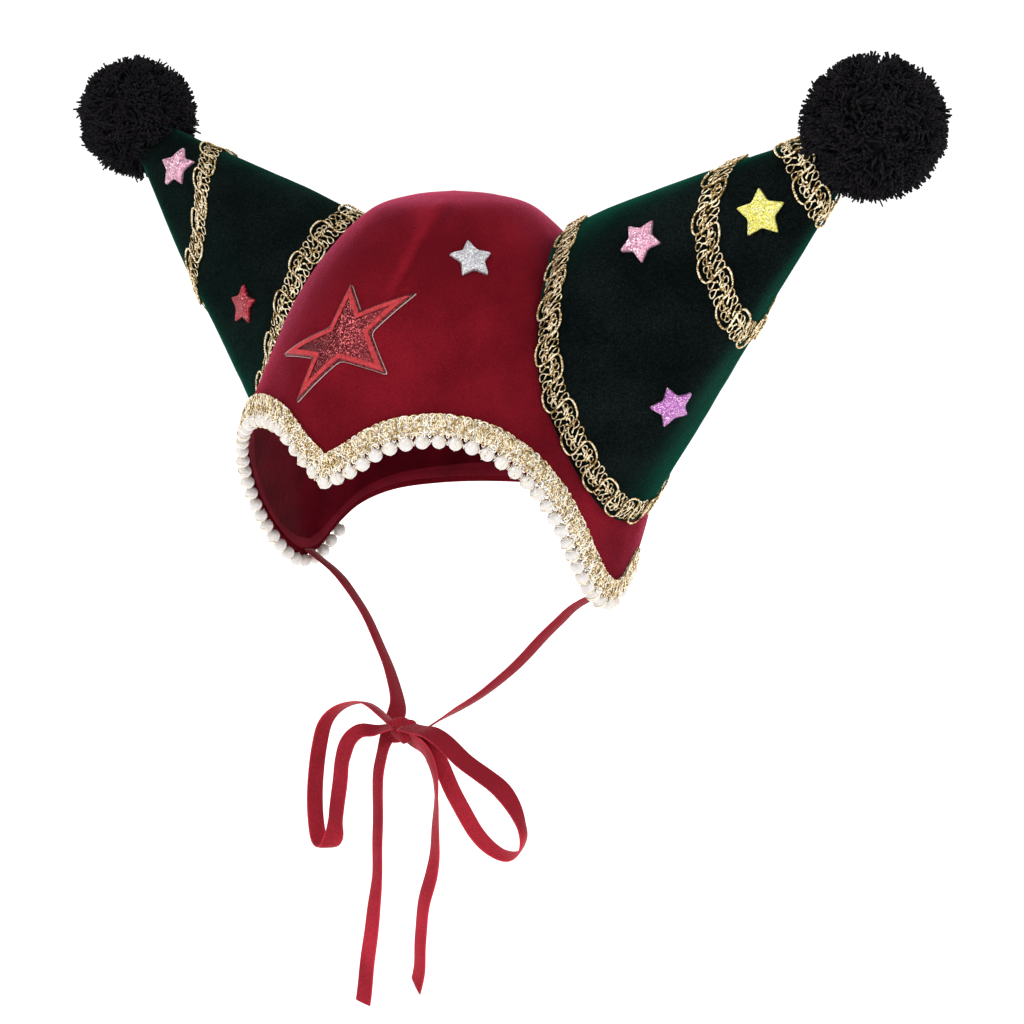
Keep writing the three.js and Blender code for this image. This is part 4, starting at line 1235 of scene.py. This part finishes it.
class JesterPearls(bpy.types.Operator):
    """Pearls hung along the edge and the threads that wrap them"""

    bl_idname = "jester.pearls"
    bl_label = "Pearls"

    HANG = 2.85

    def execute(self, context):
        settings = context.scene.jester_trim
        size = settings.pearl_size / MM
        edge = EdgeLane()
        centres = edge.points - edge.inward * self.HANG - edge.normals * VELVET / 2
        run = run_of(centres)
        count = int(run[-1] // (settings.pearl_pitch / MM))
        pitch = run[-1] / count
        draw = random.Random(8)
        bm = bmesh.new()
        lines = {"pearl_threads": [], "pearl_cream": [(centres[::12], 0.5, False)]}
        for i in range(count):
            s = (i + 0.5) * pitch
            middle = at_run(s, run, centres)
            ball = bmesh.ops.create_uvsphere(
                bm, u_segments=24, v_segments=16, radius=size / 2 * draw.uniform(0.98, 1.03) * MM)
            bmesh.ops.translate(bm, verts=ball["verts"], vec=Vector(middle * MM))
            along = unit(at_run(s + 1, run, centres) - at_run(s - 1, run, centres))
            inward = unit(at_run(s, run, edge.inward))
            normal = unit(np.cross(along, inward))
            if normal @ at_run(s, run, edge.normals) < 0:
                normal = -normal
            wraps = [(-pitch / 2 - 0.5, "pearl_threads"), (-pitch / 2 + 0.5, "pearl_cream")]
            if draw.random() < 0.75:
                wraps.append((draw.uniform(-0.3, 0.3) * size, "pearl_threads"))
            for shift, target in wraps:
                t = np.linspace(-0.5, 3.5, 15)
                hug = math.sqrt(max((size / 2) ** 2 - shift**2, 1.6)) + 0.2
                skew = draw.uniform(-1.0, 1.0)
                points = middle + np.outer(hug * np.cos(t), inward)
                points = points + np.outer(hug * np.sin(t), normal)
                points = points + np.outer(shift + skew * np.cos(t), along)
                lines[target].append((points, 0.21, False))
        for name, finish in (("pearl_threads", gold_finish()), ("pearl_cream", cream_finish())):
            keep(name, strands(name, lines[name]), finish, ("pearl_string",))
        keep("pearl_string", to_mesh(bm, "pearl_string"),
             pearl_finish("pearl", settings.pearl))
        return {"FINISHED"}


def carrier_tree(name):
    """What a star lies on, as a tree to drop points onto."""
    bm = bmesh.new()
    bm.from_mesh(bpy.data.objects["dressed_" + name].data)
    tree = BVHTree.FromBMesh(bm)
    bm.free()
    return tree


def star_spot(carrier, first, second):
    if carrier == "cap":
        angle, depth = np.array(float(first)), np.array(second * CAP_DEPTH)
        return cap_point(angle, depth), cap_normal(angle, depth)
    turn, share = np.array(math.radians(first)), np.array(second)
    side = 1 if carrier == "horn_left" else -1
    point, normal = horn_point(turn, share, side), horn_normal(turn, share, side)
    return mirrored(point, side), mirrored(normal, side)


def star_corners(corners, radius, turned=0):
    """A star's tips and inner corners in its own plane."""
    return np.array([
        radius * reach * np.array([math.sin(math.radians(turn + turned)),
                                   math.cos(math.radians(turn + turned))])
        for turn, reach in corners
    ])


def star_outline(corners, radius, turned, blunt):
    """The edge of a star in its own plane, with its tips and inner corners eased."""
    marks = star_corners(corners, radius, turned)
    dense = []
    for a, b in zip(marks, np.roll(marks, -1, axis=0)):
        dense += [a + (b - a) * t for t in np.linspace(0, 1, 12, endpoint=False)]
    dense = np.array(dense)
    for _ in range(blunt):
        dense = (np.roll(dense, 1, axis=0) + 2 * dense + np.roll(dense, -1, axis=0)) / 4
    return dense


def inset_corners(corners, distance):
    """A polygon's corners moved in, each edge by the same distance."""
    ahead = np.roll(corners, -1, axis=0)
    along = unit(ahead - corners)
    side = np.stack([-along[:, 1], along[:, 0]], axis=-1)
    area = np.sum(corners[:, 0] * ahead[:, 1] - ahead[:, 0] * corners[:, 1])
    side = side * np.sign(area)
    before = np.roll(side, 1, axis=0)
    middle = unit(side + before)
    return corners + middle * (distance / np.sum(middle * side, axis=-1))[:, None]


class Seat:
    """Lays flat star coordinates onto the cloth under them."""

    def __init__(self, carrier, first, second):
        self.tree = carrier_tree(carrier)
        self.middle, self.normal = star_spot(carrier, first, second)
        self.right = unit(np.cross([0, 0, 1.0], self.normal))
        self.above = np.cross(self.normal, self.right)

    def lay(self, x, y, lift):
        raw = self.middle + np.outer(x, self.right) + np.outer(y, self.above)
        down = Vector(-self.normal)
        placed = []
        for point in raw:
            start = Vector((point + self.normal * 15) * MM)
            hit = self.tree.ray_cast(start, down, 0.05)[0]
            placed.append(np.array(hit) / MM if hit else point)
        return np.array(placed) + np.outer(np.broadcast_to(lift, len(raw)), self.normal)


def star_plate(seat, outline, rings, raised):
    """A plate on the cloth; each ring has its share of the outline and what its lift is from."""
    lookup = row_lookup(rings)
    closed = np.vstack([outline, outline[:1]])
    marks = np.linspace(0, 1, len(closed))

    def place(u, v):
        share, *rest = lookup(v)
        flat = at_run(u, marks, closed) * share[:, None]
        return seat.lay(flat[:, 0], flat[:, 1], raised(*rest))

    return woven(len(outline), len(rings) - 1, place)


class JesterSmallStars(bpy.types.Operator):
    """Six small padded glitter stars"""

    bl_idname = "jester.small_stars"
    bl_label = "Small stars"

    # Rings from the middle out: share of the outline, lift as a share of the padding and rim
    RINGS = ((0, 1, 1), (0.25, 0.96, 1), (0.5, 0.85, 1), (0.7, 0.62, 1), (0.82, 0.35, 1),
             (0.88, 0.2, 1), (0.93, 0.34, 1), (0.97, 0.26, 0.9), (1, 0, 0.6), (1, 0, 0),
             (0.9, 0, -0.2), (0, 0, -0.2))
    LIFT = 0.15
    PUFF = 1.1

    def execute(self, context):
        settings = context.scene.jester_star
        rim = settings.thickness / MM
        for name, (carrier, first, second, turned, size, colour) in SMALL_STARS.items():
            seat = Seat(carrier, first, second)
            outline = star_outline(SMALL_STAR_CORNERS, size * settings.radius / MM, turned, 3)
            bm = star_plate(seat, outline, self.RINGS,
                            lambda puff, edge: self.LIFT + edge * rim + puff * self.PUFF)
            tone = getattr(settings, colour)
            # Painted glints: the palest flakes are whitened, less so on the red star.
            white, metal, gloss = (0.15, 0.8, 0.25) if colour == "red" else (0.62, 0.55, 0.6)
            pale = tuple(c + (1 - c) * white for c in tone)
            material = glitter("glitter_" + colour, tone, pale, metal=metal, gloss=gloss)
            piece = keep(name, to_mesh(bm, name), material)
        return {"FINISHED"}


class JesterStarPatch(bpy.types.Operator):
    """The big star: glitter cloth, satin stitches and a stiff backing"""

    bl_idname = "jester.star_patch"
    bl_label = "Star patch"

    MARGIN = 0.9
    BORDER = 1.8
    PLATE = 1.1
    STAND_OFF = 0.3
    STITCH_PITCH = 0.42
    # The backing shows as a pale cut edge: share of the outline and lift
    BACKING = ((0, 0.5), (1.002, 0.5), (1.004, 0.0), (0, 0.0))

    def execute(self, context):
        settings = context.scene.jester_star
        seat = Seat("cap", *BIG_STAR_PLACE)
        outline = star_outline(BIG_STAR_CORNERS, settings.big_radius / MM, 0, 1)
        rings = [(share, self.PLATE) for share in (0, 0.3, 0.6, 0.85, 1)]
        rings += [(1, 0.35), (0, 0.2)]
        bm = star_plate(seat, outline, rings, lambda lift: self.STAND_OFF + lift)
        # The second colour is the painted glint on the patch's palest flakes.
        middle = glitter("patch_glitter", settings.patch, (0.42, 0.085, 0.09), 2900.0, 0.8, 0.5,
                         0.25)
        keep("star_patch", to_mesh(bm, "star_patch"), middle)
        backing = star_plate(seat, outline, self.BACKING, lambda lift: lift)
        keep("star_patch_backing", to_mesh(backing, "star_patch_backing"),
             cloth("backing_felt", (0.6, 0.54, 0.51), 1500.0), ("star_patch",))

        corners = star_corners(BIG_STAR_CORNERS, settings.big_radius / MM)
        outer = inset_corners(corners, self.MARGIN)
        inner = inset_corners(corners, self.MARGIN + self.BORDER)
        flat = []
        for k in range(len(corners)):
            j = (k + 1) % len(corners)
            count = round(np.linalg.norm(outer[j] - outer[k]) / self.STITCH_PITCH)
            for t in np.linspace(0, 1, count, endpoint=False):
                a = outer[k] + (outer[j] - outer[k]) * t
                b = inner[k] + (inner[j] - inner[k]) * t
                flat += [a + (b - a) * share for share in (0, 0.2, 0.5, 0.8, 1)]
        flat = np.array(flat)
        stitches = len(flat) // 5
        lift = np.tile([0.2, 0.55, 0.7, 0.55, 0.2], stitches) + self.PLATE + self.STAND_OFF
        laid = seat.lay(flat[:, 0], flat[:, 1], lift).reshape(stitches, 5, 3)
        keep("star_patch_border", strands("star_patch_border", [(p, 0.27, False) for p in laid]),
             cloth("border_thread", settings.border, 1600.0, cloud=750.0, spread=0.3),
             ("star_patch",))
        return {"FINISHED"}


# Panel, registration and the run --------------------------------------------------------

OPERATORS = (
    JesterStage, JesterTies, JesterBow, JesterCap, JesterLining, JesterHorns, JesterPompoms,
    JesterHornBraids, JesterFaceBraid, JesterPearls, JesterStarPatch, JesterSmallStars,
)
SETTINGS = {
    "jester_cloth": JesterClothSettings,
    "jester_trim": JesterTrimSettings,
    "jester_pompom": JesterPompomSettings,
    "jester_star": JesterStarSettings,
    "jester_ribbon": JesterRibbonSettings,
    "jester_stage": JesterStageSettings,
}


class JesterPanel(bpy.types.Panel):
    """Pieces of the jester hat"""

    bl_idname = "VIEW3D_PT_jester_hat"
    bl_label = "Jester Hat"
    bl_space_type = "VIEW_3D"
    bl_region_type = "UI"
    bl_category = "Jester Hat"

    def draw(self, context):
        for operator in OPERATORS:
            self.layout.operator(operator.bl_idname)
        for name, group in SETTINGS.items():
            box = self.layout.box()
            for key in group.__annotations__:
                box.prop(getattr(context.scene, name), key)


def register():
    for group in SETTINGS.values():
        bpy.utils.register_class(group)
    for operator in OPERATORS:
        bpy.utils.register_class(operator)
    bpy.utils.register_class(JesterPanel)
    for name, group in SETTINGS.items():
        setattr(bpy.types.Scene, name, bpy.props.PointerProperty(type=group))


def unregister():
    for name in SETTINGS:
        delattr(bpy.types.Scene, name)
    bpy.utils.unregister_class(JesterPanel)
    for group in (*OPERATORS, *SETTINGS.values()):
        bpy.utils.unregister_class(group)


def main():
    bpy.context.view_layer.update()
    register()
    for operator in OPERATORS:
        group, name = operator.bl_idname.split(".")
        getattr(getattr(bpy.ops, group), name)()


if __name__ == "__main__":
    main()
